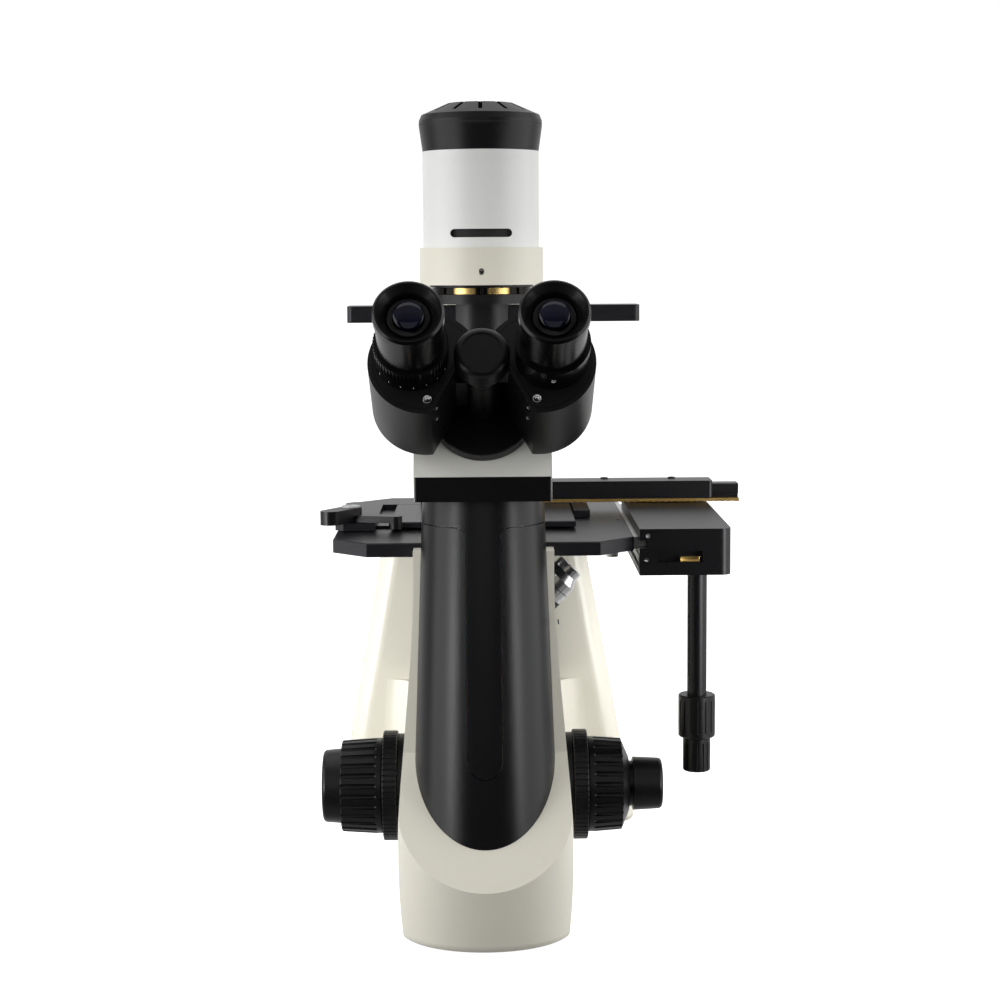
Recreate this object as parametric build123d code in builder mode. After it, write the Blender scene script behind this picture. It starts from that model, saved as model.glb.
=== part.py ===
from build123d import *
import os
from math import cos, pi, radians, sin, tan

os.makedirs("parts", exist_ok=True)

# Inverted microscope in millimetres: X right, Y to the back, Z up.
# The origin lies on the bench, straight below the optical axis.

# Clearances
seat_gap = 0.2
slide_gap = 0.3
run_gap = 0.05
seam_gap = 0.6
edge_break = 0.6

# Feet and bottom plate
foot_height = 2.5
foot_radius = 9
foot_chamfer = 0.8
column_floor = 12
plate_thick = 3
plate_inset = 9

# Stand: spine at the front, wide body at the back
nose_front = -207
nose_length = 39
crease_height = 36
slope_rise = 61.9
spine_foot_half = 45.2
spine_waist_half = 48.2
spine_waist_height = 47
spine_shoulder_half = 44.4
spine_shoulder_height = 115
spine_top_half = 39.6
arm_back = -114.7
ledge_depth = 14
valley_floor = 100
rear_front = 52
rear_back = 165
rear_foot_half = 99
rear_top_half = 63
rear_round = 12
base_round = 4
corner_sweep = 18

# Stage plate
stage_bottom = 204
stage_thick = 8
stage_half = 87
stage_front = -113
stage_back = 115
stage_front_chamfer = 20.5
stage_back_chamfer = 25
stage_hole_radius = 52
insert_seat = 3
insert_thick = 3.5
insert_hole_radius = 16
stage_top = stage_bottom + stage_thick
flank_top = stage_top - 2.5

# Column cover, a leaning tapered half round
column_foot = 57
column_foot_axis = -147.6
column_top_axis = -128.5
column_foot_radius = 40.4
column_top_radius = 34
cover_thick = 3
inlay_seam = 14.5
tongue_half = 9.3
tongue_foot = 92
inlay_corner = 5

# Head block and front panel
head_bottom = stage_top + 29.6
panel_half = 37
panel_height = 13.3
panel_thick = 3
head_half = 37.5
head_front = -168
head_back = -104
head_height = 70
head_round = 6
column_top = head_bottom - seat_gap

# Binocular head, on an axis leaning back from the operator
head_angle = 30
head_seat_along = 38
flange_radius = 28.5
flange_thick = 8
hub_radius = 9.3
hub_length = 12
hinge_radius = 6
left_knuckle_length = 26.5
right_knuckle_length = 14.5
knuckle_radius = 9.3
knuckle_gap = 0.4
wing_radius = 29.5
wing_offset = 30
wing_lift = 0.5
wing_inner_flat = 10
wing_inner_angle = 27.5
wing_round = 3
rim_width = 2.6
lid_thick = 2
eye_spread = 36.6
eye_rise = 3
ring_radius = 19.5
ring_length = 17
tube_radius = 16.5
barrel_radius = 17.3
barrel_length = 26
cup_radius = 18.2
cup_length = 6
eye_bore_radius = 11
cup_rim = 2
cup_dish = 7
prism_width = 18
prism_length = 26
prism_height = 24
hinge_cap_radius = 12.5
hinge_cap_length = 12
hinge_cap_straight = 7
hinge_cap_face = 10

# Light path inside the stand
path_radius = 11
path_height = 80
path_front = -140
mirror_radius = 10
mirror_back = 3
mirror_thick = 2

# Illumination tower
pillar_half = 38
pillar_front = 119
pillar_depth = 39
pillar_round = 10
arm_bottom = stage_top + 144.5
arm_height = 22.5
arm_half = 30
lamp_ring_radius = 37.8
lamp_bore_radius = 26
lens_seat = 2.5
lens_thick = 7
housing_radius = 35.5
housing_height = 58
housing_wall = 2.5
vent_half = 18.5
vent_width = 5
vent_height = 6
cap_low_radius = 35.4
cap_wide_radius = 37.5
cap_skirt = 15
cap_dome = 14
cap_top_radius = 20
cap_slots = 12
cap_slot_width = 2.4
cap_slot_depth = 5
set_screw_radius = 1.4
set_screw_depth = 4
socket_height = 26
bulb_radius = 6
bulb_length = 14

# Condenser and phase slider
bracket_radius = 31.7
bracket_height = 11.5
iris_slot_low = 5.8
iris_slot_height = 4.2
iris_neck_radius = 20
iris_radius = 30.6
condenser_radius = 22.75
condenser_length = 61
condenser_bore_radius = 13
condenser_lens_radius = 16
slider_top = 1
slider_thick = 10
slider_depth = 32
slider_half = 82
slider_grip = 14
slider_pitch = 44
phase_hole_radius = 11

# Focus drive
focus_axis_y = -60
focus_axis_z = 58
collar_radius = 31
collar_sink = 1.8
collar_length = 5.4
ring_grip_radius = 32.8
ring_grip_length = 8.6
ring_ribs = 60
ring_hub_radius = 14
rib_radius = 0.6
coarse_radius = 28.4
coarse_end_radius = 27.2
coarse_shoulder = 4.5
coarse_length = 20
coarse_band_length = 4.6
coarse_flutes = 28
flute_radius = 1.6
fine_left_radius = 22.3
fine_left_length = 11
fine_right_radius = 16
fine_taper = 0.9
fine_round = 2.5
fine_right_length = 17.5
fine_right_neck = 2.4
sleeve_radius = 4.5
fine_shaft_radius = 2.5
pinion_teeth = 12
tooth_module = 1
pinion_place = 24
pinion_room = 4
tooth_root_share = 1.25
pressure_angle = 20
rack_width = 8
rack_teeth = 7
rack_teeth_below = 2
tooth_backlash = 0.5

# Focus carriage and dovetail guide
focus_down = 7
guide_half = 12
guide_depth = 8
guide_height = 62
guide_flare = 3
carriage_half = 22
carriage_thick = 9
carriage_floor_gap = focus_down + 1
slide_height = 44
slide_depth = 20
pedestal_radius = 14
carriage_bore_radius = 7

# Turret and objectives
turret_angle = 22.5
objective_reach = 77
objective_shoulder = 44
dome_radius = 43
dome_base = 30
deck_gap = 0.4
deck_thick = 6
deck_radius = 29
pivot_radius = 4
pivot_length = 10
turret_bore_radius = 6.4
boss_radius = 12.6
thread_radius = 10
thread_length = 5
objective_radius = 12
objective_neck_radius = 11
neck_length = 3
tip_drop = 0.6

# Mechanical stage
rail_visible = 2.6
rail_height = 7
rail_tongue = 4.5
rail_tongue_height = 4
block_front = -98
block_back = 60
block_width = 53
block_bottom = 14
block_rise = 5
block_round = 6
window_half = 13
window_height = 6.5
window_depth = 5
guide_front = 32
guide_width = 22
guide_wall = 4
guide_left = 25
guide_right = 146
guide_bottom = 3
guide_rise = 11
guide_lip = 2
bar_left = -40
bar_right = 163
rack_left = -30
rack_strip = 2
stem_inset = 2
rack_notch_pitch = 4
drive_x = 127
drive_y = -60
drive_tube_radius = 5.8
drive_tube_show = 77.6
y_knob_radius = 11
y_knob_length = 25.5
x_knob_radius = 8.2
x_knob_length = 20.6
x_shaft_radius = 2.5
drive_flutes = 16
knob_plain = 3

# Specimen holder
holder_lift = 0.5
holder_thick = 4.5
holder_back = 50
holder_back_bar = 16
holder_left = -88
arm_width = 24
arm_front = -62
jaw_left = 56
jaw_width = 10
jaw_front = -5
ledge_thick = 1.2
ledge_reach = 10
carrier_half = 55
carrier_front = -57
carrier_hole_radius = 17
clip_x = -79
clip_y = -51
clip_pivot_radius = 3
clip_height = 8.5
clip_finger_height = 4
clip_width = 13
clip_handle_x = 11
clip_handle_y = 17.6
tab_x = -52
tab_radius = 4
holder_corner = 5

# Small controls
dial_radius = 9
dial_place_y = -5
dial_place_z = 45
dial_length = 10
dial_proud = 4
inlet_half = 14
inlet_height = 20
inlet_depth = 16
inlet_place_z = 45
pin_radius = 1.5
pin_pitch = 7
pin_length = 7
inlet_wall = 2

# Derived levels and planes
apex = stage_bottom + tip_drop - objective_reach
column_low = foot_height + plate_thick + column_floor
housing_bottom = arm_bottom + arm_height
cap_bottom = housing_bottom + housing_height
bracket_bottom = arm_bottom - bracket_height
condenser_top = bracket_bottom
condenser_bottom = condenser_top - condenser_length
head_seat_y = head_front + head_seat_along * sin(radians(head_angle))
head_seat_z = head_bottom + panel_height + head_seat_along * cos(radians(head_angle))
head_plane = Plane(
    origin=(0, head_seat_y, head_seat_z),
    x_dir=(1, 0, 0),
    z_dir=(0, -cos(radians(head_angle)), sin(radians(head_angle))),
)
focus_plane = Plane(origin=(0, focus_axis_y, focus_axis_z), x_dir=(0, 1, 0), z_dir=(1, 0, 0))
focus_plane_left = Plane(origin=focus_plane.origin, x_dir=(0, 1, 0), z_dir=(-1, 0, 0))
turret_plane = Plane(
    origin=(0, 0, apex),
    x_dir=(cos(radians(turret_angle)), 0, -sin(radians(turret_angle))),
    z_dir=(sin(radians(turret_angle)), 0, cos(radians(turret_angle))),
)
mirror_rise = (path_front - head_seat_y) * tan(radians(head_angle))
mirror_planes = [
    Plane(origin=(0, 0, path_height), z_dir=(0, 1, -1)),
    Plane(origin=(0, path_front, path_height), z_dir=(0, -1, -1)),
    Plane(
        origin=(0, path_front, head_seat_z - mirror_rise),
        z_dir=(0, cos(radians(head_angle)), sin(radians(head_angle))),
    ),
]
wing_low = flange_thick + wing_lift
hinge_low = flange_thick + hub_length + knuckle_gap
left_knuckle_high = hinge_low + left_knuckle_length
right_knuckle_low = left_knuckle_high + knuckle_gap
wing_high = right_knuckle_low + right_knuckle_length
wing_depth = wing_high - wing_low
pinion_radius = pinion_teeth * tooth_module / 2
collar_face = spine_waist_half - collar_sink
collar_end = collar_face + collar_length
ring_start = collar_end + seat_gap + slide_gap
ring_end = ring_start + ring_grip_length
coarse_start = ring_end + slide_gap
coarse_grip = coarse_start + coarse_band_length
coarse_end = coarse_grip + coarse_length
fine_start = coarse_end + slide_gap
block_left = stage_half + rail_visible + slide_gap
block_right = block_left + block_width
block_low = stage_bottom - block_bottom
block_top = stage_top + block_rise
holder_bottom = stage_top + holder_lift
holder_top = holder_bottom + holder_thick
guide_low = block_top + guide_bottom
guide_high = guide_low + guide_rise
rack_top = guide_low - slide_gap
y_knob_top = block_low - drive_tube_show
y_knob_low = y_knob_top - y_knob_length
x_knob_top = y_knob_low - slide_gap
carriage_low = valley_floor + carriage_floor_gap
carriage_high = carriage_low + carriage_thick
rack_pitch_y = focus_axis_y + pinion_radius


def objective_plane(turn):
    # plane at the turret's apex, looking along one objective
    lean = radians(turret_angle)
    aside = turret_plane.x_dir * cos(radians(turn)) + turret_plane.y_dir * sin(radians(turn))
    return Plane(origin=turret_plane.origin, z_dir=turret_plane.z_dir * cos(lean) + aside * sin(lean))


def eye_plane(side):
    centre = head_plane.from_local_coords((side * eye_spread, eye_rise, 0))
    return Plane(origin=centre, x_dir=head_plane.x_dir, z_dir=head_plane.z_dir)


def save(piece, name):
    piece.part.label = name
    export_step(piece.part, f"parts/{name}.step")


def blend(low, high, low_value, high_value, at):
    return low_value + (high_value - low_value) * (at - low) / (high - low)


def column_axis(height):
    return blend(column_foot, column_top, column_foot_axis, column_top_axis, height)


def column_radius(height):
    return blend(column_foot, column_top, column_foot_radius, column_top_radius, height)


def column_body(inset, low, high, mode=Mode.ADD):
    # leaning tapered round between two levels
    sections = []
    for height in (low, high):
        with BuildSketch(Plane.XY.offset(height)) as section:
            with Locations((0, column_axis(height))):
                Circle(column_radius(height) - inset)
        sections.append(section.sketch)
    loft(sections, mode=mode)


slope_back = column_axis(crease_height + slope_rise)


def slope_height(y):
    return blend(nose_front, slope_back, crease_height, crease_height + slope_rise, y)


def cylinder_on(plane, start, length, radius, mode=Mode.ADD):
    with BuildSketch(plane.offset(start)) as section:
        Circle(radius)
    extrude(section.sketch, amount=length, mode=mode)


def turned(plane, outline, mode=Mode.ADD):
    # solid of revolution about the plane's normal, from (radius, height) corners
    side = Plane(origin=plane.origin, x_dir=plane.x_dir, z_dir=plane.x_dir.cross(plane.z_dir))
    with BuildSketch(side) as section:
        with BuildLine():
            Polyline(*outline, close=True)
        make_face()
    revolve(section.sketch, axis=Axis(plane.origin, plane.z_dir), mode=mode)


def fluted(plane, start, length, radius, count, cutter):
    with BuildSketch(plane.offset(start)) as cuts:
        with PolarLocations(radius, count):
            Circle(cutter)
    extrude(cuts.sketch, amount=length, mode=Mode.SUBTRACT)


def block_between(low, high, mode=Mode.ADD):
    size = [b - a for a, b in zip(low, high)]
    with Locations(low):
        Box(*size, align=(Align.MIN, Align.MIN, Align.MIN), mode=mode)


# Stand casting
with BuildPart() as column_core:
    column_body(cover_thick + seat_gap, column_low, column_top)
    with Locations((0, arm_back, 0)):
        Box(
            4 * column_foot_radius,
            2 * column_foot_radius,
            4 * column_top,
            align=(Align.CENTER, Align.MIN, Align.CENTER),
            mode=Mode.SUBTRACT,
        )

with BuildPart() as rear_body:
    with BuildSketch(Plane.XZ.offset(-rear_front)):
        with BuildLine():
            Polyline(
                (-rear_foot_half, foot_height),
                (rear_foot_half, foot_height),
                (rear_top_half, stage_bottom),
                (-rear_top_half, stage_bottom),
                close=True,
            )
        make_face()
    extrude(amount=rear_front - rear_back)
    side_edges = rear_body.edges().filter_by(lambda e: abs(e.tangent_at(0).Z) > 0.5)
    fillet(side_edges, radius=rear_round)


def mirror_pocket(plane):
    cylinder_on(plane, -mirror_back, 2 * mirror_back + mirror_thick, mirror_radius + seat_gap, Mode.SUBTRACT)


def rear_hollow_section(height, half):
    with BuildSketch(Plane.XY.offset(height)) as section:
        with Locations((0, rear_front + 2 * plate_inset)):
            Rectangle(
                2 * half,
                rear_back - inlet_depth - rear_front - 3 * plate_inset,
                align=(Align.CENTER, Align.MIN),
            )
    return section.sketch


with BuildPart() as main_frame:
    with BuildSketch(Plane.YZ):
        with BuildLine():
            Polyline(
                (nose_front, foot_height),
                (nose_front, crease_height),
                (slope_back, crease_height + slope_rise),
                (column_axis(flank_top), flank_top),
                (arm_back, flank_top),
                (arm_back, stage_bottom),
                (arm_back + ledge_depth, stage_bottom),
                (arm_back + ledge_depth, valley_floor),
                (rear_front + rear_round, valley_floor),
                (rear_front + rear_round, foot_height),
                close=True,
            )
        make_face()
    extrude(amount=2 * spine_waist_half, both=True)
    with BuildSketch(Plane.XZ):
        with BuildLine():
            right_edge = Spline(
                (spine_foot_half, foot_height),
                (spine_waist_half, spine_waist_height),
                (spine_shoulder_half, spine_shoulder_height),
                (spine_top_half, flank_top),
            )
            Line((spine_top_half, flank_top), (-spine_top_half, flank_top))
            mirror(right_edge, about=Plane.YZ)
            Line((-spine_foot_half, foot_height), (spine_foot_half, foot_height))
        make_face()
    extrude(amount=2 * rear_back - nose_front, both=True, mode=Mode.INTERSECT)
    with BuildSketch(Plane.XY):
        with Locations((0, nose_front + nose_length)):
            Ellipse(spine_waist_half + seat_gap, nose_length)
            Rectangle(
                2 * spine_waist_half + 2 * seat_gap,
                rear_back - nose_front,
                align=(Align.CENTER, Align.MIN),
            )
    extrude(amount=2 * stage_top, mode=Mode.INTERSECT)
    add(rear_body.part)
    corner_edges = main_frame.edges().filter_by_position(Axis.Y, rear_front - 1, rear_front + 1)
    corner_edges = corner_edges.filter_by_position(Axis.Z, foot_height, valley_floor + 1)
    corner_edges = corner_edges.filter_by(lambda e: abs(e.tangent_at(0.5).Z) > 0.5)
    fillet(corner_edges.filter_by(lambda e: abs(e.center().X) < rear_top_half), radius=corner_sweep)
    fillet(main_frame.edges().group_by(Axis.Z)[0], radius=base_round)
    add(column_core.part)
    # bore for the focus sleeve and pocket for its pinion
    cylinder_on(focus_plane, -spine_waist_half, 2 * spine_waist_half, sleeve_radius + run_gap, Mode.SUBTRACT)
    with Locations((pinion_place, focus_axis_y + pinion_radius, valley_floor)):
        Box(
            rack_width + 2 * pinion_room,
            4 * pinion_radius + pinion_room,
            valley_floor - focus_axis_z + 2 * pinion_radius + pinion_room,
            align=(Align.CENTER, Align.CENTER, Align.MAX),
            mode=Mode.SUBTRACT,
        )
    # light path: down from the turret, forward under the valley, up through the column
    cylinder_on(Plane.XY, path_height, valley_floor, path_radius, Mode.SUBTRACT)
    cylinder_on(Plane((0, path_front, path_height)), 0, column_top, path_radius, Mode.SUBTRACT)
    cylinder_on(Plane((0, 0, path_height), z_dir=(0, -1, 0)), 0, -path_front, path_radius, Mode.SUBTRACT)
    for mirror_plane in mirror_planes[:2]:
        mirror_pocket(mirror_plane)
    # flat seats for the focus collars
    for side_plane in (focus_plane, focus_plane_left):
        cylinder_on(side_plane, collar_face, spine_waist_half, collar_radius + seat_gap, Mode.SUBTRACT)
    # hollows that the bottom plate closes
    rear_hollow = [
        rear_hollow_section(foot_height, rear_foot_half - 3 * plate_inset),
        rear_hollow_section(stage_bottom - 2 * plate_inset, rear_top_half - plate_inset),
    ]
    loft(rear_hollow, mode=Mode.SUBTRACT)
    block_between(
        (2 * plate_inset - spine_foot_half, path_front, foot_height),
        (spine_foot_half - 2 * plate_inset, rear_front - plate_inset, focus_axis_z - 2 * plate_inset),
        Mode.SUBTRACT,
    )
    # recess for the bottom plate
    with BuildSketch(Plane.XY.offset(foot_height)):
        with Locations((0, nose_front + nose_length)):
            Rectangle(
                2 * (spine_foot_half - plate_inset + seat_gap),
                rear_front - nose_front - nose_length + 2 * plate_inset,
                align=(Align.CENTER, Align.MIN),
            )
        with Locations((0, rear_front + plate_inset - seat_gap)):
            Rectangle(
                2 * (rear_foot_half - 2 * plate_inset + seat_gap),
                rear_back - rear_front - 2 * plate_inset + 2 * seat_gap,
                align=(Align.CENTER, Align.MIN),
            )
    extrude(amount=plate_thick, mode=Mode.SUBTRACT)
    # pockets for the control dial and the power inlet
    with BuildSketch(Plane.YZ.offset(spine_waist_half + dial_proud)):
        with Locations((dial_place_y, dial_place_z)):
            Circle(dial_radius + slide_gap)
    extrude(amount=-dial_length - dial_proud - seat_gap, mode=Mode.SUBTRACT)
    with BuildSketch(Plane.XZ.offset(-rear_back)):
        with Locations((0, inlet_place_z)):
            Rectangle(2 * inlet_half + 2 * seat_gap, inlet_height + 2 * seat_gap)
    extrude(amount=inlet_depth, mode=Mode.SUBTRACT)
save(main_frame, "main_frame")

with BuildPart() as bottom_plate:
    with BuildSketch(Plane.XY.offset(foot_height)):
        with Locations((0, nose_front + nose_length + seat_gap)):
            Rectangle(
                2 * (spine_foot_half - plate_inset),
                rear_front - nose_front - nose_length + plate_inset + seat_gap,
                align=(Align.CENTER, Align.MIN),
            )
        with Locations((0, rear_front + plate_inset)):
            Rectangle(
                2 * (rear_foot_half - 2 * plate_inset),
                rear_back - rear_front - 2 * plate_inset,
                align=(Align.CENTER, Align.MIN),
            )
    extrude(amount=plate_thick)
save(bottom_plate, "bottom_plate")

foot_places = [
    (-spine_foot_half / 2, nose_front + nose_length + 2 * foot_radius),
    (spine_foot_half / 2, nose_front + nose_length + 2 * foot_radius),
    (-rear_top_half, rear_back - plate_inset - 2 * foot_radius),
    (rear_top_half, rear_back - plate_inset - 2 * foot_radius),
]
with BuildPart() as rubber_feet:
    with Locations(*foot_places):
        Cylinder(foot_radius, foot_height, align=(Align.CENTER, Align.CENTER, Align.MIN))
    chamfer(rubber_feet.edges().group_by(Axis.Z)[0], length=foot_chamfer)
save(rubber_feet, "rubber_feet")


# Column cover and its T-shaped inlay
def column_shell():
    column_body(0, column_low, column_top)
    column_body(cover_thick, column_low, column_top, Mode.SUBTRACT)
    wrap_foot = flank_top + seat_gap
    with BuildSketch(Plane.YZ) as behind:
        with BuildLine():
            Polyline(
                (column_axis(0) - seat_gap, 0),
                (column_axis(wrap_foot) - seat_gap, wrap_foot),
                (arm_back, wrap_foot),
                (arm_back, 2 * column_top),
                (rear_front, 2 * column_top),
                (rear_front, 0),
                close=True,
            )
        make_face()
    extrude(behind.sketch, amount=2 * column_foot_radius, both=True, mode=Mode.SUBTRACT)
    with BuildSketch(Plane.YZ) as below:
        with BuildLine():
            Polyline(
                (2 * nose_front, slope_height(2 * nose_front) + seat_gap),
                (0, slope_height(0) + seat_gap),
                (0, slope_height(2 * nose_front)),
                close=True,
            )
        make_face()
    extrude(below.sketch, amount=2 * column_foot_radius, both=True, mode=Mode.SUBTRACT)


def inlay_outline(grow):
    seam = column_top - inlay_seam - grow
    half = tongue_half + grow
    with BuildSketch(Plane.XZ) as outline:
        with Locations((0, seam)):
            Rectangle(4 * column_foot_radius, 2 * inlay_seam, align=(Align.CENTER, Align.MIN))
        with Locations((0, tongue_foot + tongue_half)):
            Circle(half)
            Rectangle(2 * half, seam - tongue_foot - tongue_half, align=(Align.CENTER, Align.MIN))
        corners = outline.vertices().filter_by(lambda v: abs(v.Y - seam) < 0.01 and abs(v.X) < 2 * half)
        fillet(corners, radius=inlay_corner)
    return outline.sketch


with BuildPart() as column_cover:
    column_shell()
    extrude(inlay_outline(seam_gap), amount=-2 * nose_front, both=True, mode=Mode.SUBTRACT)
save(column_cover, "column_cover")

with BuildPart() as column_inlay:
    column_shell()
    extrude(inlay_outline(0), amount=-2 * nose_front, both=True, mode=Mode.INTERSECT)
save(column_inlay, "column_inlay")

# Head block with its sloped seat, and the panel across its front
head_top = head_bottom + head_height
panel_top = head_bottom + panel_height
def head_face(height):
    # Y of the sloping face that carries the binocular head
    return head_seat_y + (height - head_seat_z) * tan(radians(head_angle))


with BuildPart() as head_block:
    with BuildSketch(Plane.YZ):
        with BuildLine():
            Polyline(
                (head_front + panel_thick + seat_gap, head_bottom),
                (head_front + panel_thick + seat_gap, panel_top + seat_gap),
                (head_face(panel_top + seat_gap), panel_top + seat_gap),
                (head_face(head_top), head_top),
                (head_back, head_top),
                (head_back, head_bottom),
                close=True,
            )
        make_face()
    extrude(amount=head_half, both=True)
    fillet(head_block.faces().sort_by(Axis.Y)[-1].edges().sort_by(Axis.Z)[1:], radius=head_round)
    head_path_top = head_seat_z - mirror_rise
    head_path_height = head_path_top - head_bottom
    cylinder_on(Plane((0, path_front, head_bottom)), 0, head_path_height, path_radius, Mode.SUBTRACT)
    head_path_length = (head_seat_y - path_front) / cos(radians(head_angle))
    cylinder_on(head_plane, 0, head_path_length, path_radius, Mode.SUBTRACT)
    mirror_pocket(mirror_planes[2])
save(head_block, "head_block")

with BuildPart() as front_panel:
    block_between((-panel_half, head_front, head_bottom), (panel_half, head_front + panel_thick, panel_top))
    fillet(front_panel.edges().filter_by(Axis.Z).group_by(Axis.Y)[0], radius=panel_thick / 3)
save(front_panel, "front_panel")

with BuildPart() as path_mirrors:
    for mirror_plane in mirror_planes:
        cylinder_on(mirror_plane, mirror_back, mirror_thick, mirror_radius)
save(path_mirrors, "path_mirrors")

# Illumination pillar, arm and lamp
pillar_middle = pillar_front + pillar_depth / 2
pillar_back = pillar_front + pillar_depth
with BuildPart() as illumination_pillar:
    with BuildSketch(Plane.XY.offset(stage_bottom)):
        with Locations((0, pillar_middle)):
            RectangleRounded(2 * pillar_half, pillar_depth, pillar_round)
    extrude(amount=arm_bottom - stage_bottom)
save(illumination_pillar, "illumination_pillar")

with BuildPart() as lamp_arm:
    with BuildSketch(Plane.XY.offset(arm_bottom)):
        Circle(lamp_ring_radius)
        with Locations((0, pillar_back)):
            Rectangle(2 * arm_half, pillar_back, align=(Align.CENTER, Align.MAX))
    extrude(amount=arm_height)
    fillet(lamp_arm.edges().filter_by(Axis.Z).group_by(Axis.Y)[-1], radius=pillar_round)
    cylinder_on(Plane.XY, arm_bottom, arm_height, lamp_bore_radius - lens_seat, Mode.SUBTRACT)
    cylinder_on(Plane.XY, arm_bottom + arm_height / 3, arm_height, lamp_bore_radius, Mode.SUBTRACT)
    with BuildSketch(Plane.XZ.offset(lamp_ring_radius)):
        with Locations((0, arm_bottom + arm_height / 3)):
            Circle(set_screw_radius)
    extrude(amount=-set_screw_depth, mode=Mode.SUBTRACT)
save(lamp_arm, "lamp_arm")

with BuildPart() as lamp_housing:
    cylinder_on(Plane.XY, housing_bottom, housing_height, housing_radius)
    cylinder_on(Plane.XY, housing_bottom, housing_height, housing_radius - housing_wall, Mode.SUBTRACT)
    with BuildSketch(Plane.XZ):
        with Locations((0, housing_bottom + vent_height + vent_width / 2)):
            SlotOverall(2 * vent_half, vent_width)
    extrude(amount=2 * housing_radius, both=True, mode=Mode.SUBTRACT)
save(lamp_housing, "lamp_housing")

cap_top = cap_bottom + cap_skirt + cap_dome
with BuildPart() as lamp_cap:
    turned(
        Plane.XY,
        [
            (0, cap_bottom + cap_skirt),
            (cap_low_radius - 2 * housing_wall, cap_bottom + cap_skirt),
            (cap_low_radius - 2 * housing_wall, cap_bottom),
            (cap_low_radius, cap_bottom),
            (cap_wide_radius, cap_bottom + cap_skirt),
            (cap_wide_radius, cap_bottom + cap_skirt + cap_dome / 4),
            (cap_wide_radius - 1.5, cap_bottom + cap_skirt + cap_dome / 2),
            (cap_top_radius, cap_top),
            (0, cap_top),
        ],
    )
    with BuildSketch(Plane.XY.offset(cap_top)):
        with PolarLocations((cap_top_radius + cap_wide_radius) / 2 - cap_slot_width, cap_slots):
            SlotOverall(cap_wide_radius - cap_top_radius, cap_slot_width)
    extrude(amount=-cap_slot_depth, mode=Mode.SUBTRACT)
save(lamp_cap, "lamp_cap")

socket_radius = housing_radius - housing_wall - seat_gap
with BuildPart() as lamp_bulb:
    cylinder_on(Plane.XY, cap_bottom - housing_wall, -housing_wall, socket_radius)
    cylinder_on(Plane.XY, cap_bottom - housing_wall, -socket_height, bulb_radius + housing_wall)
    cylinder_on(Plane.XY, cap_bottom - housing_wall, -socket_height - bulb_length, bulb_radius)
    fillet(lamp_bulb.edges().group_by(Axis.Z)[0], radius=bulb_radius - 2 * edge_break)
save(lamp_bulb, "lamp_bulb")

with BuildPart() as illuminator_lenses:
    cylinder_on(Plane.XY, arm_bottom + arm_height / 3, lens_thick, lamp_bore_radius - run_gap)
    cylinder_on(Plane.XY, condenser_bottom + lens_seat, lens_thick, condenser_lens_radius - run_gap)
    for level in (arm_bottom, condenser_bottom):
        rims = illuminator_lenses.edges().filter_by_position(Axis.Z, level + lens_seat, level + arm_height)
        fillet(rims.group_by(Axis.Z)[-1], radius=lens_thick / 3)
save(illuminator_lenses, "illuminator_lenses")

with BuildPart() as condenser_bracket:
    cylinder_on(Plane.XY, bracket_bottom, bracket_height, bracket_radius)
    iris_low = bracket_bottom + iris_slot_low
    cylinder_on(Plane.XY, iris_low, iris_slot_height, 2 * bracket_radius, Mode.SUBTRACT)
    cylinder_on(Plane.XY, iris_low, iris_slot_height, iris_neck_radius)
    cylinder_on(Plane.XY, bracket_bottom, bracket_height, condenser_bore_radius, Mode.SUBTRACT)
save(condenser_bracket, "condenser_bracket")

with BuildPart() as iris_ring:
    cylinder_on(Plane.XY, iris_low + slide_gap, iris_slot_height - 2 * slide_gap, iris_radius)
    cylinder_on(Plane.XY, iris_low, iris_slot_height, iris_neck_radius + run_gap, Mode.SUBTRACT)
    fluted(Plane.XY, iris_low, iris_slot_height, iris_radius, 8, flute_radius)
save(iris_ring, "iris_ring")

slider_high = condenser_top - slider_top
slider_low = slider_high - slider_thick
with BuildPart() as condenser_body:
    cylinder_on(Plane.XY, condenser_bottom, condenser_length, condenser_radius)
    chamfer(condenser_body.edges().group_by(Axis.Z)[0], length=lens_seat)
    cylinder_on(Plane.XY, condenser_bottom, condenser_length, condenser_bore_radius, Mode.SUBTRACT)
    cylinder_on(Plane.XY, condenser_bottom, lens_seat + lens_thick, condenser_lens_radius, Mode.SUBTRACT)
    block_between(
        (-condenser_radius, -slider_depth / 2 - slide_gap, slider_low - slide_gap),
        (condenser_radius, slider_depth / 2 + slide_gap, condenser_top),
        Mode.SUBTRACT,
    )
save(condenser_body, "condenser_body")

with BuildPart() as phase_slider:
    block_between(
        (-slider_half, -slider_depth / 2, slider_low),
        (slider_half + slider_grip, slider_depth / 2, slider_high),
    )
    fillet(phase_slider.edges().filter_by(Axis.Z), radius=slider_thick / 3)
    with BuildSketch(Plane.XY.offset(slider_low)):
        with Locations((-slider_pitch, 0), (0, 0), (slider_pitch, 0)):
            Circle(phase_hole_radius)
    extrude(amount=slider_thick, mode=Mode.SUBTRACT)
save(phase_slider, "phase_slider")

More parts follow.
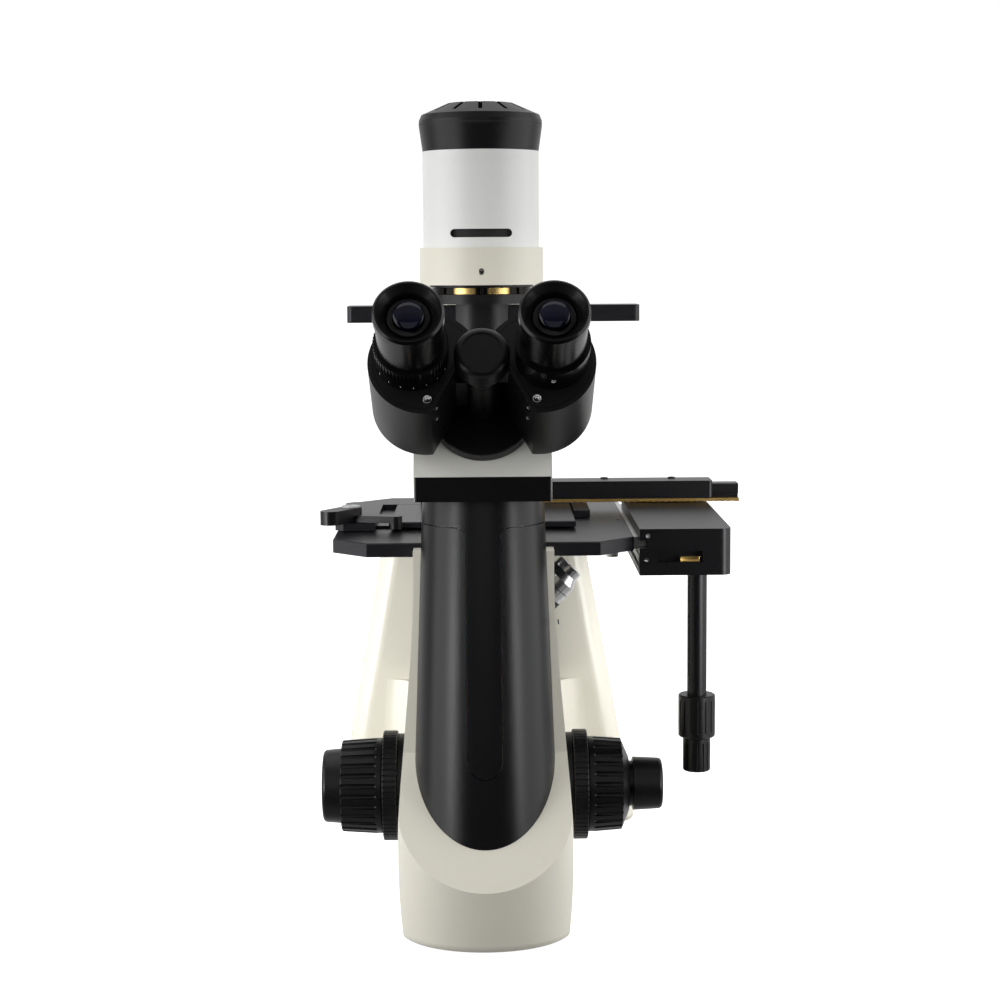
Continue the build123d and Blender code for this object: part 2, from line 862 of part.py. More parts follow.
# Stage plate, insert and rail
with BuildPart() as stage_plate:
    with BuildSketch(Plane.XY.offset(stage_bottom)):
        with BuildLine():
            Polyline(
                (-stage_half, stage_front + stage_front_chamfer),
                (-stage_half + stage_front_chamfer, stage_front),
                (stage_half - stage_front_chamfer, stage_front),
                (stage_half, stage_front + stage_front_chamfer),
                (stage_half, stage_back - stage_back_chamfer),
                (stage_half - stage_back_chamfer, stage_back),
                (-stage_half + stage_back_chamfer, stage_back),
                (-stage_half, stage_back - stage_back_chamfer),
                close=True,
            )
        make_face()
    extrude(amount=stage_thick)
    chamfer(stage_plate.edges().group_by(Axis.Z)[-1], length=edge_break)
    with Locations((0, 0, stage_top)):
        CounterBoreHole(stage_hole_radius, stage_hole_radius + insert_seat, insert_thick)
save(stage_plate, "stage_plate")

with BuildPart() as stage_insert:
    cylinder_on(Plane.XY, stage_top - insert_thick, insert_thick, stage_hole_radius + insert_seat - seat_gap)
    cylinder_on(Plane.XY, stage_top - insert_thick, insert_thick, insert_hole_radius, Mode.SUBTRACT)
    chamfer(stage_insert.edges().group_by(Axis.Z)[-1], length=edge_break)
save(stage_insert, "stage_insert")

rail_front = stage_front + stage_front_chamfer + rail_visible
rail_back = stage_back - stage_back_chamfer - rail_visible
rail_middle = stage_bottom + stage_thick / 2
tongue_end = stage_half + rail_visible + rail_tongue
with BuildPart() as stage_rail:
    block_between(
        (stage_half, rail_front, rail_middle - rail_height / 2),
        (stage_half + rail_visible, rail_back, rail_middle + rail_height / 2),
    )
    block_between(
        (stage_half, rail_front, rail_middle - rail_tongue_height / 2),
        (tongue_end, rail_back, rail_middle + rail_tongue_height / 2),
    )
save(stage_rail, "stage_rail")

# Focus drive: collars, rings, coarse and fine knobs on coaxial shafts
hub_bore = sleeve_radius + run_gap
with BuildPart() as focus_collars:
    for side_plane in (focus_plane, focus_plane_left):
        cylinder_on(side_plane, collar_face, collar_length, collar_radius)
        cylinder_on(side_plane, collar_face, collar_length, hub_bore, Mode.SUBTRACT)
save(focus_collars, "focus_collars")


def grip_ring(side_plane):
    with BuildPart() as ring:
        turned(
            side_plane,
            [
                (ring_hub_radius + run_gap, ring_start),
                (ring_grip_radius - edge_break, ring_start),
                (ring_grip_radius, ring_start + edge_break),
                (ring_grip_radius, ring_end - edge_break),
                (ring_grip_radius - edge_break, ring_end),
                (ring_hub_radius + run_gap, ring_end),
            ],
        )
        fluted(side_plane, ring_start, ring_grip_length, ring_grip_radius, ring_ribs, rib_radius)
    return ring


save(grip_ring(focus_plane_left), "tension_ring")
save(grip_ring(focus_plane), "limit_ring")


def coarse_knob(side_plane, shoulder, shoulder_radius):
    flute_place = (coarse_radius + coarse_end_radius) / 2
    with BuildPart() as knob:
        turned(
            side_plane,
            [
                (hub_bore, ring_start),
                (ring_hub_radius, ring_start),
                (ring_hub_radius, coarse_start),
                (coarse_radius - edge_break, coarse_start),
                (coarse_radius, coarse_start + edge_break),
                (coarse_radius, coarse_grip),
                (coarse_end_radius, coarse_end - shoulder),
                (shoulder_radius, coarse_end),
                (hub_bore, coarse_end),
            ],
        )
        # flutes with ball ends that run out in the smooth band
        fluted(side_plane, coarse_grip, coarse_length, flute_place, coarse_flutes, flute_radius)
        with Locations(side_plane.offset(coarse_grip)):
            with PolarLocations(flute_place, coarse_flutes):
                Sphere(flute_radius, mode=Mode.SUBTRACT)
    return knob


save(coarse_knob(focus_plane_left, edge_break, coarse_end_radius - edge_break), "coarse_knob_left")
save(coarse_knob(focus_plane, coarse_shoulder, fine_right_radius + edge_break), "coarse_knob_right")


def gear_tooth(plane):
    # one tooth pointing along the plane's X, its pitch line at the plane's origin
    with BuildSketch(plane) as tooth:
        with BuildLine():
            Polyline(
                (-tooth_in, tooth_root_half),
                (tooth_out, tooth_tip_half),
                (tooth_out, -tooth_tip_half),
                (-tooth_in, -tooth_root_half),
                close=True,
            )
        make_face()
    extrude(tooth.sketch, amount=rack_width)


tooth_out = tooth_module
tooth_in = tooth_root_share * tooth_module
tooth_half = (pi * tooth_module / 2 - tooth_backlash) / 2
tooth_root_half = tooth_half + tooth_in * tan(radians(pressure_angle))
tooth_tip_half = tooth_half - tooth_out * tan(radians(pressure_angle))
sleeve_end = coarse_end - coarse_band_length
with BuildPart() as coarse_sleeve:
    cylinder_on(focus_plane, -sleeve_end, 2 * sleeve_end, sleeve_radius)
    pinion_plane = focus_plane.offset(pinion_place - rack_width / 2)
    cylinder_on(pinion_plane, 0, rack_width, pinion_radius - tooth_in + seat_gap)
    for step in range(pinion_teeth):
        turn = 2 * pi * step / pinion_teeth
        outward = Vector(0, cos(turn), sin(turn))
        gear_tooth(Plane(pinion_plane.origin + outward * pinion_radius, x_dir=outward, z_dir=(1, 0, 0)))
    cylinder_on(focus_plane, -sleeve_end, 2 * sleeve_end, fine_shaft_radius + run_gap, Mode.SUBTRACT)
save(coarse_sleeve, "coarse_sleeve")

fine_left_end = fine_start + fine_left_length
fine_right_end = fine_start + fine_right_neck + fine_right_length
shaft_cover = 3
with BuildPart() as fine_shaft:
    cylinder_on(
        focus_plane,
        shaft_cover - fine_left_end,
        fine_left_end + fine_right_end - 2 * shaft_cover,
        fine_shaft_radius,
    )
save(fine_shaft, "fine_shaft")

with BuildPart() as fine_knob_left:
    turned(
        focus_plane_left,
        [
            (0, fine_start),
            (fine_left_radius, fine_start),
            (fine_left_radius - fine_taper, fine_left_end),
            (0, fine_left_end),
        ],
    )
    fillet(fine_knob_left.edges().group_by(Axis.X)[0], radius=fine_round)
    shaft_socket = fine_left_length - shaft_cover
    cylinder_on(focus_plane_left, fine_start, shaft_socket, fine_shaft_radius + run_gap, Mode.SUBTRACT)
save(fine_knob_left, "fine_knob_left")

with BuildPart() as fine_knob_right:
    turned(
        focus_plane,
        [
            (0, fine_start),
            (fine_right_radius - fine_right_neck, fine_start),
            (fine_right_radius - fine_right_neck, fine_start + fine_right_neck),
            (fine_right_radius, fine_start + fine_right_neck),
            (fine_right_radius - fine_taper, fine_right_end),
            (0, fine_right_end),
        ],
    )
    fillet(fine_knob_right.edges().group_by(Axis.X)[-1], radius=fine_round)
    cylinder_on(
        focus_plane,
        fine_start,
        fine_right_end - fine_start - shaft_cover,
        fine_shaft_radius + run_gap,
        Mode.SUBTRACT,
    )
save(fine_knob_right, "fine_knob_right")


# Dovetail guide and the carriage that runs on it
def dovetail(grow, low, high, mode=Mode.ADD):
    face = rear_front - guide_depth - grow
    with BuildSketch(Plane.XY.offset(low)) as section:
        with BuildLine():
            Polyline(
                (-guide_half - grow, face),
                (guide_half + grow, face),
                (guide_half - guide_flare + grow, rear_front),
                (-guide_half + guide_flare - grow, rear_front),
                close=True,
            )
        make_face()
    extrude(section.sketch, amount=high - low, mode=mode)


with BuildPart() as focus_guide:
    dovetail(0, valley_floor, valley_floor + guide_height)
save(focus_guide, "focus_guide")

rack_back = rack_pitch_y + tooth_in + rack_width / 2
deck_top = dome_base - deck_gap
with BuildPart() as focus_carriage:
    block_between(
        (-carriage_half, rear_front - guide_depth - slide_depth / 2, carriage_low),
        (carriage_half, rear_front - 2 * slide_gap, carriage_low + slide_height),
    )
    block_between(
        (-carriage_half, rack_pitch_y + tooth_in, carriage_low),
        (pinion_place + rack_width, rear_front - guide_depth, carriage_high),
    )
    fillet(focus_carriage.edges().filter_by(Axis.Z).group_by(Axis.Y)[0], radius=carriage_thick / 3)
    # pedestal under the tilted deck, then the deck cut flat and its pivot pin
    cylinder_on(Plane.XY, carriage_high, dome_radius, pedestal_radius)
    cylinder_on(turret_plane, deck_top - deck_thick, deck_thick, deck_radius)
    cylinder_on(turret_plane, deck_top, dome_radius, deck_radius + pedestal_radius, Mode.SUBTRACT)
    cylinder_on(Plane.XY, carriage_low, dome_radius + dome_base, carriage_bore_radius, Mode.SUBTRACT)
    cylinder_on(turret_plane, deck_top - deck_thick, deck_thick + pivot_length, pivot_radius)
    dovetail(slide_gap, carriage_low, carriage_low + slide_height, Mode.SUBTRACT)
    # toothed tail that reaches down to the pinion, a gap between its teeth facing the pinion's tooth
    block_between(
        (pinion_place - rack_width / 2, rack_pitch_y + tooth_in, focus_axis_z - pinion_radius),
        (pinion_place + rack_width / 2, rack_back, carriage_high),
    )
    for step in range(rack_teeth):
        level = focus_axis_z + pi * tooth_module * (step - rack_teeth_below + 0.5)
        tooth_place = (pinion_place + rack_width / 2, rack_pitch_y, level)
        gear_tooth(Plane(tooth_place, x_dir=(0, -1, 0), z_dir=(-1, 0, 0)))
save(focus_carriage, "focus_carriage")

# Turret and its four objectives
objective_turns = {"objective_10x": 180, "objective_4x": 270, "objective_20x": 0, "objective_40x": 90}
with BuildPart() as turret_dome:
    with Locations((0, 0, apex)):
        Sphere(dome_radius)
    for turn in objective_turns.values():
        cylinder_on(objective_plane(turn), dome_base, objective_shoulder - dome_base, boss_radius)
    cylinder_on(turret_plane, dome_base, -2 * dome_radius, 2 * dome_radius, Mode.SUBTRACT)
    for turn in objective_turns.values():
        cylinder_on(objective_plane(turn), 0, dome_radius, turret_bore_radius, Mode.SUBTRACT)
        cylinder_on(
            objective_plane(turn),
            objective_shoulder,
            -thread_length - seat_gap,
            thread_radius + run_gap,
            Mode.SUBTRACT,
        )
    cylinder_on(turret_plane, dome_base, pivot_length, pivot_radius + run_gap, Mode.SUBTRACT)
save(turret_dome, "turret_dome")


def objective(turn, tip_radius, cone_length):
    cone_start = objective_reach - cone_length
    groove = (objective_shoulder + cone_start) / 2
    with BuildPart() as lens:
        turned(
            objective_plane(turn),
            [
                (turret_bore_radius, objective_shoulder - thread_length),
                (thread_radius, objective_shoulder - thread_length),
                (thread_radius, objective_shoulder),
                (objective_neck_radius, objective_shoulder),
                (objective_neck_radius, objective_shoulder + neck_length),
                (objective_radius, objective_shoulder + neck_length),
                (objective_radius, groove),
                (objective_radius - edge_break, groove),
                (objective_radius - edge_break, groove + 2 * edge_break),
                (objective_radius, groove + 2 * edge_break),
                (objective_radius, cone_start),
                (tip_radius + 2 * edge_break, objective_reach - cone_length / 2),
                (tip_radius + 2 * edge_break, objective_reach - edge_break),
                (tip_radius, objective_reach),
                (tip_radius / 2, objective_reach),
                (tip_radius / 2, objective_reach - edge_break),
                (0, objective_reach - edge_break),
                (0, cone_start),
                (turret_bore_radius, cone_start - neck_length),
            ],
        )
    return lens


save(objective(objective_turns["objective_4x"], 8, 8), "objective_4x")
save(objective(objective_turns["objective_10x"], 7, 11), "objective_10x")
save(objective(objective_turns["objective_20x"], 7.5, 10), "objective_20x")
save(objective(objective_turns["objective_40x"], 5, 15), "objective_40x")

# Mechanical stage: block on the stage's rail, guide, bar and coaxial drive
window_x = block_left + block_width / 2 - window_half / 4
window_z = stage_bottom - window_height / 2
with BuildPart() as y_block:
    block_between((block_left, block_front, block_low), (block_right, block_back, block_top))
    fillet(y_block.edges().filter_by(Axis.Z).group_by(Axis.X)[-1], radius=block_round)
    block_between(
        (block_left, block_front, rail_middle - rail_tongue_height / 2 - slide_gap),
        (tongue_end + slide_gap, block_back, rail_middle + rail_tongue_height / 2 + slide_gap),
        Mode.SUBTRACT,
    )
    block_between(
        (window_x - window_half, block_front, window_z - window_height / 2),
        (window_x + window_half, block_front + window_depth, window_z + window_height / 2),
        Mode.SUBTRACT,
    )
save(y_block, "y_block")

guide_back = guide_front + guide_width
slot_low = guide_low + guide_lip
slot_high = guide_high - guide_lip
with BuildPart() as x_guide:
    block_between((guide_left, guide_front, guide_low), (guide_right, guide_back, guide_high))
    fillet(x_guide.edges().filter_by(Axis.Z).group_by(Axis.X)[-1], radius=guide_lip)
    block_between(
        (guide_left, guide_front + guide_wall, slot_low),
        (guide_right, guide_back - guide_wall, slot_high),
        Mode.SUBTRACT,
    )
    block_between(
        (guide_left, guide_front + guide_wall + stem_inset, guide_low),
        (guide_right, guide_back - guide_wall - stem_inset, slot_low),
        Mode.SUBTRACT,
    )
    block_between(
        (block_left + block_round, guide_back - guide_wall, block_top),
        (block_right - block_round, guide_back, guide_low),
    )
save(x_guide, "x_guide")

bar_front = guide_front + guide_wall + slide_gap
bar_back = guide_back - guide_wall - slide_gap
stem_front = bar_front + stem_inset
stem_back = bar_back - stem_inset
with BuildPart() as x_bar:
    block_between((bar_left, bar_front, slot_low + slide_gap), (bar_right, bar_back, slot_high - slide_gap))
    chamfer(x_bar.edges().filter_by(Axis.X), length=edge_break)
    block_between(
        (bar_left, stem_front, rack_top),
        (bar_right, stem_back, slot_low + guide_lip),
    )
save(x_bar, "x_bar")

rack_notches = int((bar_right - rack_left) / rack_notch_pitch) - 1
with BuildPart() as x_rack:
    block_between((rack_left, guide_front, rack_top - rack_strip), (bar_right, stem_back, rack_top))
    with Locations(((rack_left + bar_right) / 2, guide_front, rack_top - rack_strip)):
        with GridLocations(rack_notch_pitch, 1, rack_notches, 1):
            Box(
                rack_notch_pitch / 2,
                rack_notch_pitch,
                rack_strip,
                mode=Mode.SUBTRACT,
            )
save(x_rack, "x_rack")

drive_plane = Plane((drive_x, drive_y, 0))
with BuildPart() as drive_tube:
    cylinder_on(drive_plane, y_knob_low + edge_break, block_low - y_knob_low - edge_break, drive_tube_radius)
    cylinder_on(drive_plane, y_knob_low, block_low - y_knob_low, x_shaft_radius + run_gap, Mode.SUBTRACT)
save(drive_tube, "drive_tube")

with BuildPart() as y_knob:
    cylinder_on(drive_plane, y_knob_low, y_knob_length, y_knob_radius)
    chamfer(y_knob.edges(), length=edge_break)
    y_grip = y_knob_length - 2 * knob_plain
    fluted(drive_plane, y_knob_low + knob_plain, y_grip, y_knob_radius, drive_flutes, rib_radius)
    cylinder_on(drive_plane, y_knob_low, y_knob_length, drive_tube_radius + run_gap, Mode.SUBTRACT)
save(y_knob, "y_knob")

with BuildPart() as x_knob:
    cylinder_on(drive_plane, x_knob_top, -x_knob_length, x_knob_radius)
    chamfer(x_knob.edges(), length=edge_break)
    x_grip = x_knob_length - knob_plain
    fluted(drive_plane, x_knob_top - x_knob_length, x_grip, x_knob_radius, drive_flutes, rib_radius)
    cylinder_on(drive_plane, x_knob_top - edge_break, y_knob_length, x_shaft_radius)
save(x_knob, "x_knob")

# Specimen holder, its carrier plate and the clip
holder_right = jaw_left + jaw_width
bar_edge = holder_back - holder_back_bar
arm_inner = holder_left + arm_width
lug_right = rack_left - slide_gap
with BuildPart() as specimen_holder:
    block_between((holder_left, bar_edge, holder_bottom), (holder_right, holder_back, holder_top))
    block_between((holder_left, arm_front, holder_bottom), (arm_inner, holder_back, holder_top))
    block_between((jaw_left, jaw_front, holder_bottom), (holder_right, holder_back, holder_top))
    chamfer(
        specimen_holder.edges().filter_by(Axis.Z).group_by(Axis.X)[0],
        length=holder_corner,
    )
    ledge_top = holder_bottom + ledge_thick
    block_between(
        (arm_inner, carrier_front + ledge_reach, holder_bottom),
        (ledge_reach - carrier_half, bar_edge, ledge_top),
    )
    block_between((carrier_half - ledge_reach, jaw_front, holder_bottom), (jaw_left, bar_edge, ledge_top))
    block_between((-carrier_half, bar_edge - ledge_reach, holder_bottom), (jaw_left, bar_edge, ledge_top))
    block_between((bar_left, stem_front, holder_top), (lug_right, stem_back, rack_top))
    cylinder_on(Plane((clip_x, clip_y, 0)), holder_top, clip_height, clip_pivot_radius)
save(specimen_holder, "specimen_holder")

with BuildPart() as holder_insert:
    block_between((-carrier_half, carrier_front, ledge_top), (carrier_half, bar_edge - slide_gap, holder_top))
    chamfer(holder_insert.edges().group_by(Axis.Z)[-1], length=edge_break)
    cylinder_on(Plane.XY, ledge_top, holder_thick, carrier_hole_radius, Mode.SUBTRACT)
save(holder_insert, "holder_insert")

clip_low = holder_top + slide_gap
tab_y = carrier_front - slide_gap - tab_radius
with BuildPart() as clip_lever:
    with BuildSketch(Plane.XY.offset(clip_low)):
        with Locations((clip_x, clip_y)):
            Circle(clip_width / 2)
        with Locations((clip_x - clip_handle_x, clip_y - clip_handle_y)):
            Circle(clip_width / 2 - edge_break)
        make_hull()
    extrude(amount=clip_height - slide_gap)
    with BuildSketch(Plane.XY.offset(clip_low)):
        with Locations((clip_x, clip_y)):
            Circle(clip_width / 2)
        with Locations((tab_x, tab_y)):
            Circle(tab_radius)
        make_hull()
    extrude(amount=clip_finger_height)
    cylinder_on(Plane((tab_x, tab_y, 0)), ledge_top, clip_low - ledge_top + clip_finger_height, tab_radius)
    cylinder_on(Plane((clip_x, clip_y, 0)), clip_low, clip_height, clip_pivot_radius + run_gap, Mode.SUBTRACT)
save(clip_lever, "clip_lever")

# Binocular head
with BuildPart() as head_flange:
    cylinder_on(head_plane, 0, flange_thick, flange_radius)
    chamfer(head_flange.edges(), length=edge_break)
    cylinder_on(head_plane, 0, flange_thick + hub_length, hub_radius)
    cylinder_on(head_plane, 0, wing_high + knuckle_gap, hinge_radius)
save(head_flange, "head_flange")

cap_start = wing_high + knuckle_gap
with BuildPart() as hinge_cap:
    turned(
        head_plane,
        [
            (0, cap_start),
            (hinge_cap_radius, cap_start),
            (hinge_cap_radius, cap_start + hinge_cap_straight),
            (hinge_cap_face, cap_start + hinge_cap_length),
            (0, cap_start + hinge_cap_length),
        ],
    )
save(hinge_cap, "hinge_cap")


def wing_outline(side, level, inset):
    flat = wing_radius + wing_inner_flat
    turn = radians(wing_inner_angle)
    with BuildSketch(head_plane.offset(level)) as outline:
        with Locations((side * wing_offset, 0)):
            Circle(wing_radius - inset)
        shift = 2 * flat - wing_inner_flat - inset
        with Locations((-side * shift * cos(turn), -shift * sin(turn))):
            Rectangle(4 * flat, 8 * flat, rotation=side * wing_inner_angle, mode=Mode.SUBTRACT)
    return outline.sketch


def prism_corner(side, level):
    return head_plane.from_local_coords((side * (wing_offset + lid_thick), 0, level))


lid_low = wing_high - lid_thick


def prism_housing(side, knuckle_low, knuckle_length):
    with BuildPart() as wing:
        extrude(wing_outline(side, wing_low, 0), amount=wing_depth)
        head_axis = Axis(head_plane.origin, head_plane.z_dir)
        fillet(wing.faces().sort_by(head_axis)[0].edges(), radius=wing_round)
        with BuildSketch(head_plane.offset(knuckle_low)):
            Circle(knuckle_radius)
            Rectangle(wing_offset, knuckle_radius, align=(Align.MIN if side > 0 else Align.MAX, Align.CENTER))
        extrude(amount=knuckle_length)
        extrude(wing_outline(side, lid_low, rim_width), amount=lid_thick, mode=Mode.SUBTRACT)
        with BuildSketch(head_plane.offset(lid_low)):
            with Locations((side * (wing_offset + lid_thick), 0)):
                Rectangle(prism_width + 2 * seat_gap, prism_length + 2 * seat_gap)
        extrude(amount=-prism_height - 2 * seat_gap, mode=Mode.SUBTRACT)
        cylinder_on(head_plane, wing_low, wing_depth, hinge_radius + run_gap, Mode.SUBTRACT)
    return wing


def top_plate(side):
    with BuildPart() as lid:
        extrude(wing_outline(side, lid_low, rim_width + seat_gap), amount=lid_thick)
    return lid


def prism(side):
    with BuildPart() as glass:
        with BuildSketch(head_plane.offset(lid_low - seat_gap)):
            with Locations((side * (wing_offset + lid_thick), 0)):
                Rectangle(prism_width, prism_length)
        extrude(amount=-prism_height)
        chamfer(glass.edges().sort_by(Axis.X)[0 if side < 0 else -1], length=prism_width / 3)
    return glass


ring_top = wing_high + ring_length
barrel_top = ring_top + barrel_length
cup_top = barrel_top + cup_length


def eyepiece(side, foot_radius_here):
    with BuildPart() as ocular:
        turned(
            eye_plane(side),
            [
                (0, wing_high),
                (foot_radius_here, wing_high),
                (foot_radius_here, ring_top),
                (barrel_radius, ring_top),
                (barrel_radius, barrel_top - edge_break),
                (cup_radius, barrel_top),
                (cup_radius, cup_top - 2 * edge_break),
                (cup_radius - 2 * edge_break, cup_top),
                (cup_radius - cup_rim, cup_top),
                (eye_bore_radius, cup_top - cup_dish),
                (0, cup_top - cup_dish),
            ],
        )
    return ocular


for side, hand, knuckle_from, knuckle_long in (
    (-1, "left", hinge_low, left_knuckle_length),
    (1, "right", right_knuckle_low, right_knuckle_length),
):
    save(prism_housing(side, knuckle_from, knuckle_long), f"{hand}_prism_housing")
    save(top_plate(side), f"{hand}_top_plate")
    save(prism(side), f"{hand}_prism")
save(eyepiece(-1, tube_radius), "left_eyepiece")
save(eyepiece(1, ring_radius), "right_eyepiece")

with BuildPart() as diopter_ring:
    cylinder_on(eye_plane(-1), wing_high + slide_gap, ring_length - 2 * slide_gap, ring_radius)
    fluted(eye_plane(-1), wing_high + ring_length / 2, ring_length / 2, ring_radius, ring_ribs, rib_radius)
    cylinder_on(eye_plane(-1), wing_high, ring_length, tube_radius + run_gap, Mode.SUBTRACT)
save(diopter_ring, "diopter_ring")

# Control dial low on the right side, and the power inlet at the back
dial_plane = Plane((spine_waist_half, dial_place_y, dial_place_z), x_dir=(0, 1, 0), z_dir=(1, 0, 0))
with BuildPart() as brightness_dial:
    cylinder_on(dial_plane, dial_proud, -dial_length, dial_radius)
    chamfer(brightness_dial.edges().group_by(Axis.X)[-1], length=edge_break)
    fluted(dial_plane, 0, dial_proud, dial_radius, drive_flutes, rib_radius)
save(brightness_dial, "brightness_dial")

with BuildPart() as power_inlet:
    inlet_low = inlet_place_z - inlet_height / 2
    inlet_front = rear_back - inlet_depth + seat_gap
    block_between((-inlet_half, inlet_front, inlet_low), (inlet_half, rear_back, inlet_low + inlet_height))
    block_between(
        (inlet_wall - inlet_half, inlet_front + inlet_wall, inlet_low + inlet_wall),
        (inlet_half - inlet_wall, rear_back, inlet_low + inlet_height - inlet_wall),
        Mode.SUBTRACT,
    )
    with BuildSketch(Plane.XZ.offset(-inlet_front)):
        with Locations((0, inlet_place_z)):
            with GridLocations(pin_pitch, 1, 3, 1):
                Circle(pin_radius)
    extrude(amount=-inlet_wall - pin_length)
save(power_inlet, "power_inlet")
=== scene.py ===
import bpy
from math import cos, radians, sin
from mathutils import Matrix, Vector


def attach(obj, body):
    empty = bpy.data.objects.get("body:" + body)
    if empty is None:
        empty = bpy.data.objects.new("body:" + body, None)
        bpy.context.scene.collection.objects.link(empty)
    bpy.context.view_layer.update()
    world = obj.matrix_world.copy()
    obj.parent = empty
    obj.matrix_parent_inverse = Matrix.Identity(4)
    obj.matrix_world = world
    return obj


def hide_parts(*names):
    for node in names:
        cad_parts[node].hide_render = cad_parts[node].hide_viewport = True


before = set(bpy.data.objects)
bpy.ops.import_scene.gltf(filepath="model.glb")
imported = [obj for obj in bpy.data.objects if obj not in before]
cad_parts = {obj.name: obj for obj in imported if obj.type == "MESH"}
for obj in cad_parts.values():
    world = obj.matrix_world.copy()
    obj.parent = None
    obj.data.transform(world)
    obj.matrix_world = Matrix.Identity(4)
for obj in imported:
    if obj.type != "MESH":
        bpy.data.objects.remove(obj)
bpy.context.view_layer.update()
mm = 0.001
print("stage: frame loaded,", len(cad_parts), "nodes")


# shader maths: one socket that adds Math nodes when it is used in an expression
class Wire:
    def __init__(self, finish, socket):
        self.finish = finish
        self.socket = socket

    def maths(self, operation, first, second):
        return self.finish.node("ShaderNodeMath", {"operation": operation}, {0: first, 1: second})

    def __add__(self, other):
        return self.maths("ADD", self, other)

    def __rsub__(self, other):
        return self.maths("SUBTRACT", other, self)

    def __mul__(self, other):
        return self.maths("MULTIPLY", self, other)

    __radd__ = __add__
    __rmul__ = __mul__


class Finish:
    def __init__(self, name, fixed):
        self.material = bpy.data.materials.new(name)
        self.material.use_nodes = True
        self.tree = self.material.node_tree
        self.shader = self.tree.nodes["Principled BSDF"]
        for socket, value in fixed.items():
            self.shader.inputs[socket].default_value = value
        self.place = self.node("ShaderNodeTexCoord", {}, {}, "Object")

    def node(self, kind, settings, sockets, out=0):
        made = self.tree.nodes.new(kind)
        for key, value in settings.items():
            if key == "stops":
                ramp = made.color_ramp
                while len(ramp.elements) < len(value):
                    ramp.elements.new(0.5)
                for element, (spot, colour) in zip(ramp.elements, value):
                    element.position = spot
                    element.color = colour
            else:
                setattr(made, key, value)
        for key, value in sockets.items():
            if isinstance(value, Wire):
                self.tree.links.new(value.socket, made.inputs[key])
            else:
                made.inputs[key].default_value = value
        return Wire(self, made.outputs[out])

    def stretched(self, scale, turn=(0, 0, 0)):
        return self.node("ShaderNodeMapping", {}, {"Vector": self.place, "Scale": scale, "Rotation": turn})

    def noise(self, scale, detail=3, rough=0.55, vector=None):
        sockets = {"Vector": vector or self.place, "Scale": scale, "Detail": detail, "Roughness": rough}
        return self.node("ShaderNodeTexNoise", {"noise_dimensions": "3D"}, sockets)

    def cells(self, scale):
        return self.node("ShaderNodeTexVoronoi", {"feature": "F1"}, {"Vector": self.place, "Scale": scale})

    def steps(self, value, stops):
        greys = [(spot, (level, level, level, 1)) for spot, level in stops]
        return self.node("ShaderNodeValToRGB", {"stops": greys}, {0: value})

    def blend(self, amount, low, high):
        low = low if isinstance(low, Wire) else (*low, 1)
        high = high if isinstance(high, Wire) else (*high, 1)
        return self.node("ShaderNodeMix", {"data_type": "RGBA"}, {0: amount, 6: low, 7: high}, 2)

    def axis(self, letter):
        return self.node("ShaderNodeSeparateXYZ", {}, {0: self.place}, letter)

    def feed(self, **wires):
        for key, wire in wires.items():
            self.tree.links.new(wire.socket, self.shader.inputs[key.replace("_", " ")])

    def bump(self, height, strength, depth):
        sockets = {"Strength": strength, "Distance": depth, "Height": height}
        self.feed(Normal=self.node("ShaderNodeBump", {}, sockets))


# sprayed enamel: orange peel, a little warm shading, rubbed and dusty patches
def enamel(name, colour, shade, gloss):
    paint = Finish(name, {"Coat Roughness": 0.22, "Specular IOR Level": 0.45})
    cloud = paint.noise(9, 4)
    grime = paint.steps(paint.noise(38, 6, 0.7), [(0.56, 0), (0.8, 1)])
    tint = paint.blend(cloud * 0.55, colour, shade)
    specks = paint.steps(paint.noise(1900, 1), [(0.72, 0), (0.78, 1)])
    tint = paint.blend(grime * 0.16 + specks * 0.05, tint, [c * 0.72 for c in shade])
    paint.feed(Base_Color=tint, Roughness=gloss + cloud * 0.09 + grime * 0.1,
               Coat_Weight=0.22 - grime * 0.12)
    paint.bump(paint.noise(760, 2) + paint.noise(190, 2) * 0.6, 0.06, 0.0006)
    return paint.material


# black paint or moulding with a fine grain
def grainedBlack(name, colour, gloss, grain, strength, edge):
    skin = Finish(name, {"Specular IOR Level": 0.28})
    cloud = skin.noise(14, 4)
    dust = skin.steps(skin.noise(120, 5, 0.72), [(0.6, 0), (0.86, 1)])
    tint = skin.blend(cloud, colour, [c * 1.5 + 0.001 for c in colour])
    tint = skin.blend(dust * edge, tint, (0.06, 0.06, 0.058))
    pits = skin.cells(grain)
    skin.feed(Base_Color=tint, Roughness=gloss + cloud * 0.1 + dust * 0.12)
    skin.bump(pits + skin.noise(grain * 0.6, 3) * 0.7, strength, 0.0005)
    return skin.material


# anodised aluminium with faint milling lines
def anodised(name, colour, gloss):
    plate = Finish(name, {"Metallic": 0.3, "Specular IOR Level": 0.4})
    lines = plate.noise(60, 3, 0.6, plate.stretched((1, 34, 34)))
    cloud = plate.noise(16, 4)
    rubbed = plate.stretched((1, 0.25, 1), (0, 0, 0.5))
    scuff = plate.steps(plate.noise(230, 6, 0.75, rubbed), [(0.66, 0), (0.84, 1)])
    tint = plate.blend(lines * 0.5 + cloud * 0.3, colour, [c * 1.7 + 0.001 for c in colour])
    tint = plate.blend(scuff * 0.2, tint, (0.06, 0.06, 0.064))
    plate.feed(Base_Color=tint, Roughness=gloss + lines * 0.1 + scuff * 0.12)
    plate.bump(lines + plate.noise(1500, 2), 0.05, 0.0004)
    return plate.material


